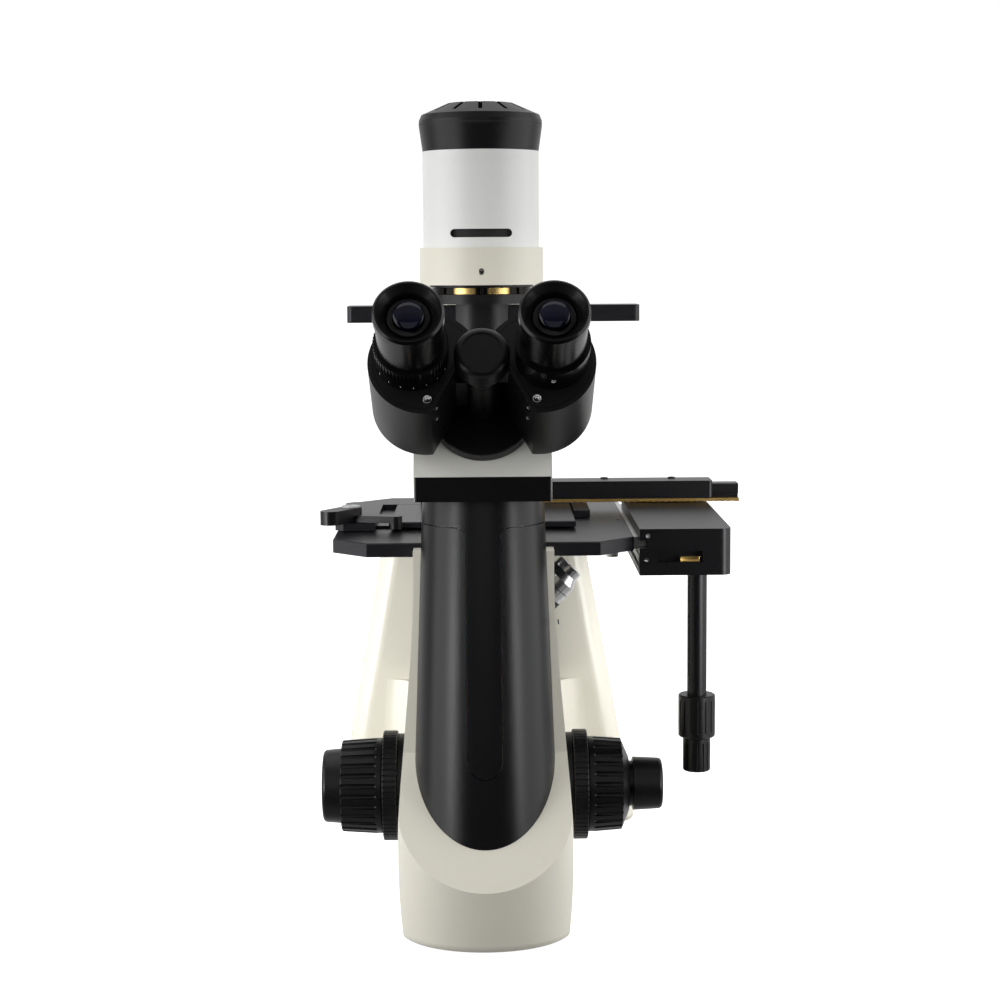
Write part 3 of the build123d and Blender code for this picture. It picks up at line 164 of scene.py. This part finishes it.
# turned or plated metal, lines round the piece's own height
def turnedMetal(name, colour, tarnish, gloss, lineScale):
    metal = Finish(name, {"Metallic": 1.0})
    lines = metal.noise(lineScale, 2, 0.5, metal.stretched((0.04, 0.04, 1)))
    smear = metal.noise(70, 5, 0.65)
    spots = metal.steps(metal.noise(320, 4, 0.7), [(0.64, 0), (0.8, 1)])
    tint = metal.blend(smear * 0.5 + spots * 0.25, colour, tarnish)
    metal.feed(Base_Color=tint, Roughness=gloss + smear * 0.1 + spots * 0.12 + lines * 0.05)
    metal.bump(lines + smear * 0.3, 0.05, 0.0003)
    return metal.material


def opticalGlass(name, tint, gloss):
    glass = Finish(name, {"Transmission Weight": 1.0, "IOR": 1.52})
    smear = glass.noise(120, 4, 0.6)
    clear = glass.blend(smear, tint, [c * 0.94 for c in tint])
    glass.feed(Base_Color=clear, Roughness=gloss + smear * 0.03)
    return glass.material


def coatedLens(name):
    lens = Finish(name, {"Specular IOR Level": 0.25, "Coat Roughness": 0.02, "Coat Weight": 0.1})
    smear = lens.noise(160, 4, 0.6)
    tint = lens.blend(smear, (0.001, 0.001, 0.003), (0.003, 0.004, 0.02))
    lens.feed(Base_Color=tint, Roughness=0.03 + smear * 0.05)
    return lens.material


# blackened brass ring with two brass patches on the side facing front: painted glints of the brass
def irisBrass(name):
    ring = Finish(name, {"Metallic": 1.0})
    across = ring.axis("X")
    front = ring.axis("Y")
    # two patches left and right of centre, front side only: painted glints
    glintPads = ring.steps(across * across * 3000, [(0.03, 0), (0.07, 1), (0.62, 1), (0.86, 0)])
    glintPads = glintPads * ring.steps(front * -30 + 0.2, [(0.3, 0), (0.6, 1)])
    smear = ring.noise(220, 4, 0.6)
    glintBrass = ring.blend(smear * 0.6, (0.82, 0.58, 0.22), (0.6, 0.4, 0.14))
    ring.feed(Base_Color=ring.blend(glintPads, (0.012, 0.011, 0.010), glintBrass), Roughness=0.22 + smear * 0.12)
    ring.bump(ring.noise(1200, 2), 0.05, 0.0003)
    return ring.material


def plainMark(name, colour, gloss):
    mark = Finish(name, {})
    rub = mark.noise(900, 3)
    tint = mark.blend(rub * 0.5, colour, [c * 0.7 for c in colour])
    mark.feed(Base_Color=tint, Roughness=gloss + rub * 0.1)
    return mark.material


recipes = {
    "creamEnamel": (enamel, (0.81, 0.787, 0.682), (0.75, 0.719, 0.608), 0.33),
    "whiteEnamel": (enamel, (0.84, 0.845, 0.83), (0.79, 0.795, 0.775), 0.34),
    # head block: a more neutral white than the cream frame, and also lighter as painted light for a block that
    # sits in the head's shade
    "paleEnamel": (enamel, (0.84, 0.835, 0.785), (0.79, 0.78, 0.72), 0.33),
    "columnGrain": (grainedBlack, (0.0036, 0.0036, 0.0044), 0.25, 1500, 0.05, 0.08),
    "columnInlay": (grainedBlack, (0.0038, 0.0038, 0.0046), 0.24, 1500, 0.05, 0.07),
    "lampCapGrain": (grainedBlack, (0.004, 0.004, 0.0048), 0.3, 1300, 0.07, 0.08),
    "housingBlack": (grainedBlack, (0.0034, 0.0034, 0.004), 0.29, 1700, 0.05, 0.06),
    "eyepieceBlack": (grainedBlack, (0.002, 0.002, 0.0024), 0.17, 2400, 0.015, 0.05),
    "knobBlack": (grainedBlack, (0.0032, 0.0032, 0.0036), 0.27, 1600, 0.06, 0.10),
    "panelBlack": (grainedBlack, (0.002, 0.002, 0.0025), 0.28, 1900, 0.03, 0.04),
    "footRubber": (grainedBlack, (0.014, 0.014, 0.014), 0.72, 900, 0.2, 0.25),
    # stage plates: dark anodised colour, lifted and blued above the drive parts' black as painted satin sheen
    "stageAnodised": (anodised, (0.010, 0.010, 0.0125), 0.3),
    "driveAnodised": (anodised, (0.0035, 0.0035, 0.0045), 0.3),
    "plateGrey": (enamel, (0.34, 0.34, 0.33), (0.28, 0.28, 0.27), 0.45),
    "satinChrome": (turnedMetal, (0.80, 0.80, 0.81), (0.62, 0.61, 0.60), 0.12, 900),
    "turnedSteel": (turnedMetal, (0.56, 0.56, 0.57), (0.40, 0.39, 0.38), 0.24, 1400),
    "machinedBrass": (turnedMetal, (0.78, 0.52, 0.17), (0.52, 0.33, 0.10), 0.25, 1300),
    "irisBrass": (irisBrass,),
    "clearGlass": (opticalGlass, (0.93, 0.96, 0.97), 0.02),
    "mirrorFace": (turnedMetal, (0.92, 0.92, 0.93), (0.88, 0.88, 0.90), 0.03, 300),
    "coatedLens": (coatedLens,),
    # near-black for printed ticks, thin lines and seams, and as painted shade for the dark inside of holes and
    # the lamp slot
    "holeDark": (plainMark, (0.006, 0.006, 0.006), 0.6),
    "whiteTick": (plainMark, (0.75, 0.75, 0.73), 0.5),
    "paleCap": (plainMark, (0.52, 0.53, 0.53), 0.35),
}
finishes = {name: maker(name, *values) for name, (maker, *values) in recipes.items()}

nodeFinish = {
    "creamEnamel": ["main_frame", "illumination_pillar", "lamp_arm"],
    "whiteEnamel": ["lamp_housing"],
    "paleEnamel": ["head_block"],
    "columnGrain": ["column_cover"],
    "columnInlay": ["column_inlay"],
    "lampCapGrain": ["lamp_cap", "power_inlet"],
    "panelBlack": ["front_panel"],
    "housingBlack": ["left_prism_housing", "right_prism_housing", "left_top_plate", "right_top_plate",
                     "head_flange", "hinge_cap", "condenser_bracket", "condenser_body", "focus_collars",
                     "focus_carriage", "clip_lever"],
    "eyepieceBlack": ["left_eyepiece", "right_eyepiece", "diopter_ring"],
    "knobBlack": ["coarse_knob_left", "coarse_knob_right", "fine_knob_left", "fine_knob_right", "tension_ring",
                  "limit_ring", "y_knob", "x_knob", "brightness_dial"],
    "footRubber": ["rubber_feet"],
    "stageAnodised": ["stage_plate", "stage_insert", "specimen_holder", "holder_insert", "phase_slider"],
    "driveAnodised": ["y_block", "x_guide", "x_bar", "drive_tube"],
    "plateGrey": ["bottom_plate"],
    "satinChrome": ["turret_dome", "objective_10x", "objective_4x", "objective_20x", "objective_40x"],
    "turnedSteel": ["stage_rail", "coarse_sleeve", "fine_shaft", "focus_guide"],
    "machinedBrass": ["x_rack"],
    "irisBrass": ["iris_ring"],
    "clearGlass": ["lamp_bulb", "illuminator_lenses", "left_prism", "right_prism"],
    "mirrorFace": ["path_mirrors"],
}
for finish, names in nodeFinish.items():
    for name in names:
        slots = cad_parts[name].data.materials
        for index in range(len(slots)):
            slots[index] = finishes[finish]
        if not len(slots):
            slots.append(finishes[finish])
print("stage: finishes on the CAD nodes")


def clearSelection():
    if bpy.context.object and bpy.context.object.mode != "OBJECT":
        bpy.ops.object.mode_set(mode="OBJECT")
    bpy.ops.object.select_all(action="DESELECT")


def selectOnly(piece):
    clearSelection()
    bpy.context.view_layer.objects.active = piece
    piece.select_set(True)


def startPiece(name):
    piece = bpy.context.object
    piece.name = name
    bpy.ops.object.transform_apply(location=True, rotation=True, scale=True)
    return piece


def startRound(name, radius, height, sides=40, low=0.0):
    clearSelection()
    centre = (0, 0, low + height / 2)
    bpy.ops.mesh.primitive_cylinder_add(vertices=sides, radius=radius, depth=height, location=centre)
    return startPiece(name)


def startBlock(name, size, centre=(0, 0, 0)):
    clearSelection()
    bpy.ops.mesh.primitive_cube_add(size=1, location=centre, scale=size)
    return startPiece(name)


def pickFaces(piece, wanted):
    selectOnly(piece)
    for group in (piece.data.vertices, piece.data.edges):
        for item in group:
            item.select = False
    for face in piece.data.polygons:
        face.select = wanted(face)
    bpy.ops.object.mode_set(mode="EDIT")
    bpy.ops.mesh.select_mode(type="FACE")


def leaveEdit():
    bpy.ops.object.mode_set(mode="OBJECT")


def finishModifier(piece, kind, **settings):
    modifier = piece.modifiers.new(kind.lower(), kind)
    for key, value in settings.items():
        setattr(modifier, key, value)
    selectOnly(piece)
    bpy.ops.object.modifier_apply(modifier=modifier.name)


# moves the picked faces as an extrusion and ends the edit
def pushFaces(way):
    bpy.ops.mesh.extrude_region_move(TRANSFORM_OT_translate={"value": way})
    leaveEdit()


# every other side face of a many-sided round, pushed out as a rib
def ribSides(piece, proud):
    sides = [face.index for face in piece.data.polygons if abs(face.normal.z) < 0.1]
    ribs = set(sides[::2])
    pickFaces(piece, lambda face: face.index in ribs)
    bpy.ops.mesh.extrude_faces_move(TRANSFORM_OT_shrink_fatten={"value": proud})
    leaveEdit()


def cutAway(piece, cutter):
    finishModifier(piece, "BOOLEAN", operation="DIFFERENCE", object=cutter, solver="EXACT")
    bpy.data.objects.remove(cutter)


creases = {"bevelled": radians(35), "smooth": radians(32), "floor": radians(40), "floorSmooth": radians(60)}


def softenEdges(piece, width, segments=2):
    finishModifier(piece, "BEVEL", width=width, segments=segments, limit_method="ANGLE",
                   angle_limit=creases["bevelled"])


def smoothPiece(piece, crease="smooth"):
    selectOnly(piece)
    bpy.ops.object.shade_smooth_by_angle(angle=creases[crease])


def settle(piece, spot, facing, turn=0.0):
    selectOnly(piece)
    aim = Vector(facing).to_track_quat("Z", "Y").to_matrix().to_4x4()
    piece.matrix_world = Matrix.Translation(spot) @ aim @ Matrix.Rotation(turn, 4, "Z")
    bpy.ops.object.transform_apply(location=True, rotation=True, scale=True)
    smoothPiece(piece)


def wear(piece, finish, body):
    piece.data.materials.clear()
    piece.data.materials.append(finishes[finish])
    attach(piece, body)


def joinPieces(name, parts):
    clearSelection()
    for part in parts:
        part.select_set(True)
    bpy.context.view_layer.objects.active = parts[0]
    bpy.ops.object.join()
    parts[0].name = name
    return parts[0]


# the head's own frame: across, up the sloping face, out towards the viewer
headTilt = radians(30)
headOrigin = Vector((0, -0.149, 0.2878))
headUp = Vector((0, sin(headTilt), cos(headTilt)))
headOut = Vector((0, -cos(headTilt), sin(headTilt)))


def headSpot(across, up, out):
    return headOrigin + Vector((across, 0, 0)) * mm + headUp * (up * mm) + headOut * (out * mm)


# cap screws with a hex socket: rim, recess and floor are shares of the screw's own size
screwShape = {"sides": 36, "rim": 0.16, "recess": 0.12, "floor": 0.45, "edge": 0.12}


def capScrew(name, look, spot, facing, turn=0.0):
    tall = look["height"] * mm
    screw = startRound(name, look["radius"] * mm, tall, screwShape["sides"])
    pickFaces(screw, lambda face: face.normal.z > 0.9)
    bpy.ops.mesh.inset(thickness=look["radius"] * screwShape["rim"] * mm)
    pushFaces((0, 0, -screwShape["recess"] * tall))
    cutAway(screw, startRound(name + "Socket", look["socket"] * mm, tall, 6, screwShape["floor"] * tall))
    softenEdges(screw, screwShape["edge"] * mm)
    settle(screw, spot, facing, turn)
    return screw


wings = ((-1, "left_wing"), (1, "right_wing"))
lidScrew = {"radius": 2.3, "height": 1.5, "socket": 1.15, "across": 28.3, "up": -21.8, "level": 61.7,
            "turn": 0.3, "names": {"left_wing": "leftLidScrew", "right_wing": "rightLidScrew"}}
for side, body in wings:
    spot = headSpot(side * lidScrew["across"], lidScrew["up"], lidScrew["level"])
    screw = capScrew(lidScrew["names"][body], lidScrew, spot, headOut, side * lidScrew["turn"])
    wear(screw, "satinChrome", body)

eyeLens = {"radius": 8.0, "crown": 1.6, "across": 36.6, "up": 3.0, "level": 103.8}
retainer = {"outer": 10.8, "inner": 7.7, "height": 1.3, "edge": 0.3, "sides": 72}
for side, body in wings:
    spot = headSpot(side * eyeLens["across"], eyeLens["up"], eyeLens["level"])
    clearSelection()
    bpy.ops.mesh.primitive_uv_sphere_add(segments=64, ring_count=32, radius=eyeLens["radius"] * mm)
    lens = startPiece(body + "Lens")
    pickFaces(lens, lambda face: True)
    bpy.ops.mesh.bisect(plane_co=(0, 0, 0), plane_no=(0, 0, 1), use_fill=True, clear_inner=True)
    bpy.ops.mesh.select_all(action="SELECT")
    bpy.ops.transform.resize(value=(1, 1, eyeLens["crown"] / eyeLens["radius"]))
    leaveEdit()
    settle(lens, spot, headOut)
    wear(lens, "coatedLens", body)
    tall = retainer["height"] * mm
    ring = startRound(body + "Retainer", retainer["outer"] * mm, tall, retainer["sides"])
    cutAway(ring, startRound("retainerBore", retainer["inner"] * mm, 4 * tall, retainer["sides"], -tall))
    softenEdges(ring, retainer["edge"] * mm)
    settle(ring, spot, headOut)
    wear(ring, "eyepieceBlack", body)
print("stage: lid screws and eye lenses")

# the cap of the head's hinge: broad, with a full round shoulder and a shallow dish
hingeCover = {"radius": 14.5, "height": 12.3, "shoulder": 3.6, "steps": 10, "dish": 0.5,
              "level": 62.2, "sides": 96}
cover = startRound("hingeCover", hingeCover["radius"] * mm, hingeCover["height"] * mm, hingeCover["sides"])
pickFaces(cover, lambda face: face.normal.z > 0.9)
bpy.ops.mesh.bevel(offset=hingeCover["shoulder"] * mm, segments=hingeCover["steps"], affect="EDGES")
leaveEdit()
pickFaces(cover, lambda face: face.normal.z > 0.9 and len(face.vertices) > 8)
bpy.ops.mesh.inset(thickness=hingeCover["dish"] * mm)
pushFaces((0, 0, -hingeCover["dish"] * mm))
settle(cover, headSpot(0, 0, hingeCover["level"]), headOut)
wear(cover, "housingBlack", "base")
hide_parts("hinge_cap")
print("stage: hinge cover")

# small screws that show as dots; the near-black arm and flank set screws are painted shade for the dark of
# their holes
dots = {
    "armSetScrew": {"spot": (0.0, -37.55, 365), "facing": (0, -1, 0),
                    "radius": 1.5, "height": 0.5, "socket": 0.8,
                    "finish": "holeDark", "body": "base", "slot": "black_paint"},
    "flankSetScrew": {"spot": (41.0, -140, 170.8), "facing": (1, 0, 0.08),
                      "radius": 1.4, "height": 0.7, "socket": 0.7,
                      "finish": "holeDark", "body": "base", "slot": "black_paint"},
    "guideScrewNear": {"spot": (77.9, 48.5, 230.9), "facing": (0, 0, 1),
                       "radius": 2.4, "height": 1.0, "socket": 1.2,
                       "finish": "driveAnodised", "body": "y_carriage", "slot": "black_anodised"},
    "guideScrewFar": {"spot": (121.3, 48.5, 230.9), "facing": (0, 0, 1),
                      "radius": 2.4, "height": 1.0, "socket": 1.2,
                      "finish": "driveAnodised", "body": "y_carriage", "slot": "black_anodised"},
    "blockBolt": {"spot": (93.9, -97.9, 199), "facing": (0, -1, 0),
                  "radius": 1.1, "height": 0.7, "socket": 0.5,
                  "finish": "satinChrome", "body": "y_carriage", "slot": "chrome"},
    "blockGrub": {"spot": (94.6, -97.9, 213), "facing": (0, -1, 0),
                  "radius": 1.3, "height": 0.3, "socket": 0.7,
                  "finish": "turnedSteel", "body": "y_carriage", "slot": "steel"},
    "clipPivotCap": {"spot": (-79, -51, 225.45), "facing": (0, 0, 1),
                     "radius": 5.6, "height": 1.0, "socket": 1.5,
                     "finish": "paleCap", "body": "x_carriage", "slot": "steel"},
    "ringSetScrew": {"spot": headSpot(36.6, -16.4, 71.5) / mm, "facing": -headUp,
                     "radius": 1.3, "height": 0.4, "socket": 0.7,
                     "finish": "satinChrome", "body": "right_wing", "slot": "chrome"},
}
for name, look in dots.items():
    dot = capScrew(name, look, Vector(look["spot"]) * mm, look["facing"])
    wear(dot, look["finish"], look["body"])

# tapped holes in the stage top drawn as near-black discs: painted shade for the dark inside each hole
tappedHole = {"radius": 1.5, "height": 0.12, "socket": 0.9, "level": 211.95,
              "places": [(82.5, -14), (-39.7, -62), (39.7, -62), (-82.5, -14), (-60, 78), (60, 78)]}
holes = []
for index, (across, deep) in enumerate(tappedHole["places"]):
    spot = Vector((across, deep, tappedHole["level"])) * mm
    holes.append(capScrew("stageTap%d" % index, tappedHole, spot, (0, 0, 1)))
stageTaps = joinPieces("stageTaps", holes)
wear(stageTaps, "holeDark", "base")

# two little screws on each wing's inner flat
wingScrew = {"radius": 1.0, "height": 0.5, "socket": 0.5, "angle": 27.5, "flat": 9.9, "along": 32.5,
             "levels": (57.0, 45.0)}
slant = radians(wingScrew["angle"])
for side, body in wings:
    pair = []
    for index, level in enumerate(wingScrew["levels"]):
        across = side * (wingScrew["flat"] * cos(slant) + wingScrew["along"] * sin(slant))
        up = wingScrew["flat"] * sin(slant) - wingScrew["along"] * cos(slant)
        inward = Vector((-side * cos(slant), 0, 0)) - headUp * sin(slant)
        pair.append(capScrew("wingScrew%s%d" % (body, index), wingScrew, headSpot(across, up, level), inward))
    wear(joinPieces(body + "Screws", pair), "satinChrome", body)

# chrome thumbscrews under the stage's right edge
thumb = {"radius": 3.2, "height": 6.5, "neck": 1.7, "neckHeight": 3.0, "sunk": 0.2, "teeth": 20, "proud": 0.35,
         "edge": 0.1, "places": [(77, -50), (77, 30)], "top": 204}
for index, (across, deep) in enumerate(thumb["places"]):
    name = "stageThumbscrew%d" % index
    neckLength = (thumb["neckHeight"] + thumb["sunk"]) * mm
    neck = startRound("thumbNeck", thumb["neck"] * mm, neckLength, 24, -thumb["sunk"] * mm)
    head = startRound(name, thumb["radius"] * mm, thumb["height"] * mm, 2 * thumb["teeth"],
                      thumb["neckHeight"] * mm)
    ribSides(head, thumb["proud"] * mm)
    softenEdges(head, thumb["edge"] * mm, 1)
    screw = joinPieces(name, [head, neck])
    settle(screw, Vector((across, deep, thumb["top"])) * mm, (0, 0, -1))
    wear(screw, "satinChrome", "base")

# dark tube inside the housing behind the vent slot: painted shade for the housing's dark inside; and the seam
# round the lamp cap
slotShade = {"outer": 32.6, "inner": 31.4, "low": 379.5, "height": 26, "past": 5, "sides": 96}
tube = startRound("lampSlotShade", slotShade["outer"] * mm, slotShade["height"] * mm, slotShade["sides"],
                  slotShade["low"] * mm)
bore = startRound("slotShadeBore", slotShade["inner"] * mm, 2 * slotShade["height"] * mm, slotShade["sides"],
                  (slotShade["low"] - slotShade["past"]) * mm)
cutAway(tube, bore)
smoothPiece(tube)
wear(tube, "holeDark", "base")
seam = {"radius": 37.56, "height": 0.55, "low": 452.9, "sides": 128}
line = startRound("capSeam", seam["radius"] * mm, seam["height"] * mm, seam["sides"], seam["low"] * mm)
smoothPiece(line)
wear(line, "holeDark", "base")

# brass follower and graduated plate on the stage drive block
brassBlock = {"size": (11, 4.2, 2.9), "centre": (119, -94.9, 199.2), "rim": 0.35, "sink": 0.25, "edge": 0.2}
follower = startBlock("rackFollower", Vector(brassBlock["size"]) * mm, Vector(brassBlock["centre"]) * mm)
pickFaces(follower, lambda face: face.normal.y < -0.9)
bpy.ops.mesh.inset(thickness=brassBlock["rim"] * mm)
pushFaces((0, brassBlock["sink"] * mm, 0))
softenEdges(follower, brassBlock["edge"] * mm)
smoothPiece(follower)
wear(follower, "machinedBrass", "y_carriage")

rule = {"front": -95.0, "back": -12.0, "low": 193.2, "high": 201.4, "face": 89.9, "thick": 0.45,
        "rim": 0.5, "sink": 0.12, "edge": 0.08}
ruleSize = Vector((rule["thick"], rule["back"] - rule["front"], rule["high"] - rule["low"])) * mm
ruleCentre = Vector((rule["face"] - rule["thick"] / 2, (rule["front"] + rule["back"]) / 2,
                     (rule["low"] + rule["high"]) / 2)) * mm
plate = startBlock("blockRule", ruleSize, ruleCentre)
pickFaces(plate, lambda face: face.normal.x < -0.9)
bpy.ops.mesh.inset(thickness=rule["rim"] * mm)
pushFaces((rule["sink"] * mm, 0, 0))
softenEdges(plate, rule["edge"] * mm)
smoothPiece(plate)
wear(plate, "turnedSteel", "y_carriage")

ruleTick = {"pitch": 2.0, "thick": 0.12, "width": 0.45, "long": 5.6, "short": 3.2, "every": 5,
            "rise": 1.0, "sunk": 0.1}
ticks = []
count = int((rule["back"] - rule["front"]) / ruleTick["pitch"]) - 1
for index in range(count):
    tall = ruleTick["long"] if index % ruleTick["every"] == 0 else ruleTick["short"]
    across = rule["face"] - rule["thick"] + ruleTick["sunk"]
    deep = rule["front"] + ruleTick["pitch"] * (index + 1)
    spot = Vector((across, deep, rule["low"] + ruleTick["rise"] + tall / 2)) * mm
    ticks.append(startBlock("ruleTick", Vector((ruleTick["thick"], ruleTick["width"], tall)) * mm, spot))
wear(joinPieces("ruleTicks", ticks), "holeDark", "y_carriage")

# scale ticks round the dioptre ring
dioptre = {"radius": 19.5, "from": 214, "to": 334, "count": 7, "level": 65.6, "across": -36.6, "up": 3.0,
           "width": 0.4, "thick": 0.12, "long": 1.9, "short": 1.2, "every": 3}
ticks = []
for index in range(dioptre["count"]):
    angle = radians(dioptre["from"] + (dioptre["to"] - dioptre["from"]) * index / (dioptre["count"] - 1))
    tall = dioptre["long"] if index % dioptre["every"] == 0 else dioptre["short"]
    tick = startBlock("dioptreTick", Vector((dioptre["width"], tall, dioptre["thick"])) * mm)
    outward = Vector((cos(angle), 0, 0)) + headUp * sin(angle)
    foot = headSpot(dioptre["across"], dioptre["up"], dioptre["level"] - tall / 2)
    acrossWay = headOut.cross(outward)
    aim = Matrix((acrossWay, headOut, outward)).transposed().to_4x4()
    tick.matrix_world = Matrix.Translation(foot + outward * dioptre["radius"] * mm) @ aim
    selectOnly(tick)
    bpy.ops.object.transform_apply(location=True, rotation=True, scale=True)
    ticks.append(tick)
wear(joinPieces("dioptreTicks", ticks), "whiteTick", "diopter")

# dark lines and ribbed grips on the objectives
turretTilt = radians(22.5)
apex = Vector((0, 0, 0.1276))
turretAxis = Vector((sin(turretTilt), 0, cos(turretTilt)))
turretSide = Vector((cos(turretTilt), 0, -sin(turretTilt)))


def objectiveAxis(turn):
    angle = radians(turn)
    outward = turretSide * cos(angle) + Vector((0, 1, 0)) * sin(angle)
    return turretAxis * cos(turretTilt) + outward * sin(turretTilt)


bands = {"line10x": 180, "line4x": 270, "line20x": 0, "line40x": 90}
bandShape = {"radius": 12.02, "lineFrom": 60.9, "lineTo": 61.5, "edge": 0.1, "sides": 64,
             "gripFrom": 49.5, "gripTo": 54.5, "teeth": 36, "proud": 0.3}
for name, turn in bands.items():
    away = objectiveAxis(turn)
    lineLength = (bandShape["lineTo"] - bandShape["lineFrom"]) * mm
    band = startRound(name, bandShape["radius"] * mm, lineLength, bandShape["sides"],
                      bandShape["lineFrom"] * mm)
    softenEdges(band, bandShape["edge"] * mm, 1)
    settle(band, apex, away)
    wear(band, "holeDark", "turret")
    gripLength = (bandShape["gripTo"] - bandShape["gripFrom"]) * mm
    grip = startRound(name + "Grip", bandShape["radius"] * mm, gripLength, 2 * bandShape["teeth"],
                      bandShape["gripFrom"] * mm)
    ribSides(grip, bandShape["proud"] * mm)
    settle(grip, apex, away)
    wear(grip, "knobBlack", "turret")

# screws that hold the bottom plate
plateScrew = {"radius": 3.0, "height": 1.0, "socket": 1.3, "level": 2.45,
              "places": [(-30, -120), (30, -120), (-30, 20), (30, 20),
                         (-70, 80), (70, 80), (-70, 140), (70, 140)]}
heads = []
for index, (across, deep) in enumerate(plateScrew["places"]):
    spot = Vector((across, deep, plateScrew["level"])) * mm
    heads.append(capScrew("plateScrew%d" % index, plateScrew, spot, (0, 0, -1)))
wear(joinPieces("bottomScrews", heads), "turnedSteel", "base")
print("stage: screws, rule, ticks and bands")

# floor with a wall folded up at the back
room = {"width": 14.0, "back": 5.0, "front": 7.0, "wall": 6.0, "fold": 2.2, "steps": 16,
        "drop": 0.0002, "glow": 0.8}
clearSelection()
bpy.ops.mesh.primitive_plane_add(size=1, location=(0, (room["back"] - room["front"]) / 2, -room["drop"]))
bpy.context.object.scale = (room["width"], room["back"] + room["front"], 1)
floor = startPiece("studioFloor")
backLine = room["back"] - 0.01
for edge in floor.data.edges:
    edge.select = all(floor.data.vertices[v].co.y > backLine for v in edge.vertices)
for vertex in floor.data.vertices:
    vertex.select = vertex.co.y > backLine
for face in floor.data.polygons:
    face.select = False
bpy.ops.object.mode_set(mode="EDIT")
bpy.ops.mesh.select_mode(type="EDGE")
bpy.ops.mesh.extrude_edges_move(TRANSFORM_OT_translate={"value": (0, 0, room["wall"])})
leaveEdit()
finishModifier(floor, "BEVEL", width=room["fold"], segments=room["steps"], limit_method="ANGLE",
               angle_limit=creases["floor"])
paper = Finish("studioPaper", {"Specular IOR Level": 0.2, "Emission Color": (1, 1, 1, 1),
                               "Emission Strength": room["glow"]})
white = paper.blend(paper.noise(3, 3), (0.9, 0.9, 0.9), (0.87, 0.87, 0.87))
paper.feed(Base_Color=white, Roughness=0.8 + paper.noise(60, 3) * 0.1)
floor.data.materials.append(paper.material)
smoothPiece(floor, "floorSmooth")
floor.visible_diffuse = False  # keeps white light off the underside and out of the blacks
floor.visible_glossy = False

# a dome of white cloth that gives no light: the same plain ground from every side
dome = {"radius": 11.0, "foot": -1.0, "glow": 1.0}
clearSelection()
bpy.ops.mesh.primitive_uv_sphere_add(segments=64, ring_count=32, radius=dome["radius"])
cloth = startPiece("studioDome")
pickFaces(cloth, lambda face: True)
bpy.ops.mesh.bisect(plane_co=(0, 0, dome["foot"]), plane_no=(0, 0, 1), clear_inner=True)
bpy.ops.mesh.select_all(action="SELECT")
bpy.ops.mesh.flip_normals()
leaveEdit()
smoothPiece(cloth)
weave = Finish("studioCloth", {"Specular IOR Level": 0.0, "Roughness": 1.0, "Base Color": (0, 0, 0, 1),
                               "Emission Color": (1, 1, 1, 1), "Emission Strength": dome["glow"]})
cloth.data.materials.append(weave.material)
for ray in ("diffuse", "glossy", "transmission", "volume_scatter", "shadow"):
    setattr(cloth, "visible_" + ray, False)

lamps = {
    "leftSoftbox": {"place": (-1.75, -0.75, 0.75), "aim": (0, -0.05, 0.3), "size": 2.2, "power": 33,
                    "spread": 180},
    "rightSoftbox": {"place": (1.9, -0.3, 0.75), "aim": (0, -0.05, 0.3), "size": 2.2, "power": 27,
                     "spread": 180},
    "topSoftbox": {"place": (0, 0.3, 2.4), "aim": (0, 0, 0.1), "size": 2.0, "power": 14, "spread": 180},
    "frontFill": {"place": (0, -1.7, 0.9), "aim": (0, 0, 0.3), "size": 1.2, "power": 2.3, "spread": 180},
    "leftGrid": {"place": (-0.5, -0.4, 0.17), "aim": (-0.1, 0.06, 0.15), "size": 0.25, "power": 0.25,
                 "spread": 50},
    "rightGrid": {"place": (0.5, -0.4, 0.17), "aim": (0.1, 0.06, 0.15), "size": 0.25, "power": 0.25,
                  "spread": 50},
}
for name, look in lamps.items():
    light = bpy.data.lights.new(name, "AREA")
    light.energy = look["power"]
    light.size = look["size"]
    light.spread = radians(look["spread"])
    holder = bpy.data.objects.new(name, light)
    holder.location = look["place"]
    beam = Vector(look["aim"]) - Vector(look["place"])
    holder.rotation_euler = beam.to_track_quat("-Z", "Y").to_euler()
    holder.visible_camera = False
    bpy.context.collection.objects.link(holder)

# a white tent all round, brightest at the back, with a dark opening on the viewer's side
tent = [(0.10, 0.01), (0.28, 0.36), (0.60, 0.36), (0.92, 0.8)]
world = bpy.data.worlds.new("studioWorld")
world.use_nodes = True
worldTree = world.node_tree
facing = worldTree.nodes.new("ShaderNodeTexCoord")
split = worldTree.nodes.new("ShaderNodeSeparateXYZ")
depth = worldTree.nodes.new("ShaderNodeMapRange")
depth.inputs["From Min"].default_value = -1
shade = worldTree.nodes.new("ShaderNodeValToRGB")
while len(shade.color_ramp.elements) < len(tent):
    shade.color_ramp.elements.new(0.5)
for element, (spot, level) in zip(shade.color_ramp.elements, tent):
    element.position = spot
    element.color = (level, level, level, 1)
worldTree.links.new(facing.outputs["Generated"], split.inputs[0])
worldTree.links.new(split.outputs["Y"], depth.inputs["Value"])
worldTree.links.new(depth.outputs[0], shade.inputs[0])
worldTree.links.new(shade.outputs[0], worldTree.nodes["Background"].inputs["Color"])
bpy.context.scene.world = world

eye = {"place": (0.001, -1.278, 0.370), "pitch": 6.55, "yaw": 0.42, "roll": -0.4,
       "focal": 74.52, "sensor": 36.0}
camera = bpy.data.objects.new("studioCamera", bpy.data.cameras.new("studioCamera"))
bpy.context.collection.objects.link(camera)
camera.data.sensor_width = eye["sensor"]
camera.data.lens = eye["focal"]
aim = Matrix.Rotation(radians(-eye["yaw"]), 4, "Z") @ Matrix.Rotation(radians(90 - eye["pitch"]), 4, "X")
roll = Matrix.Rotation(radians(eye["roll"]), 4, "Z")
camera.matrix_world = Matrix.Translation(eye["place"]) @ aim @ roll
bpy.context.scene.camera = camera
bpy.context.scene.view_settings.view_transform = "Standard"
print("stage: room, light and camera")
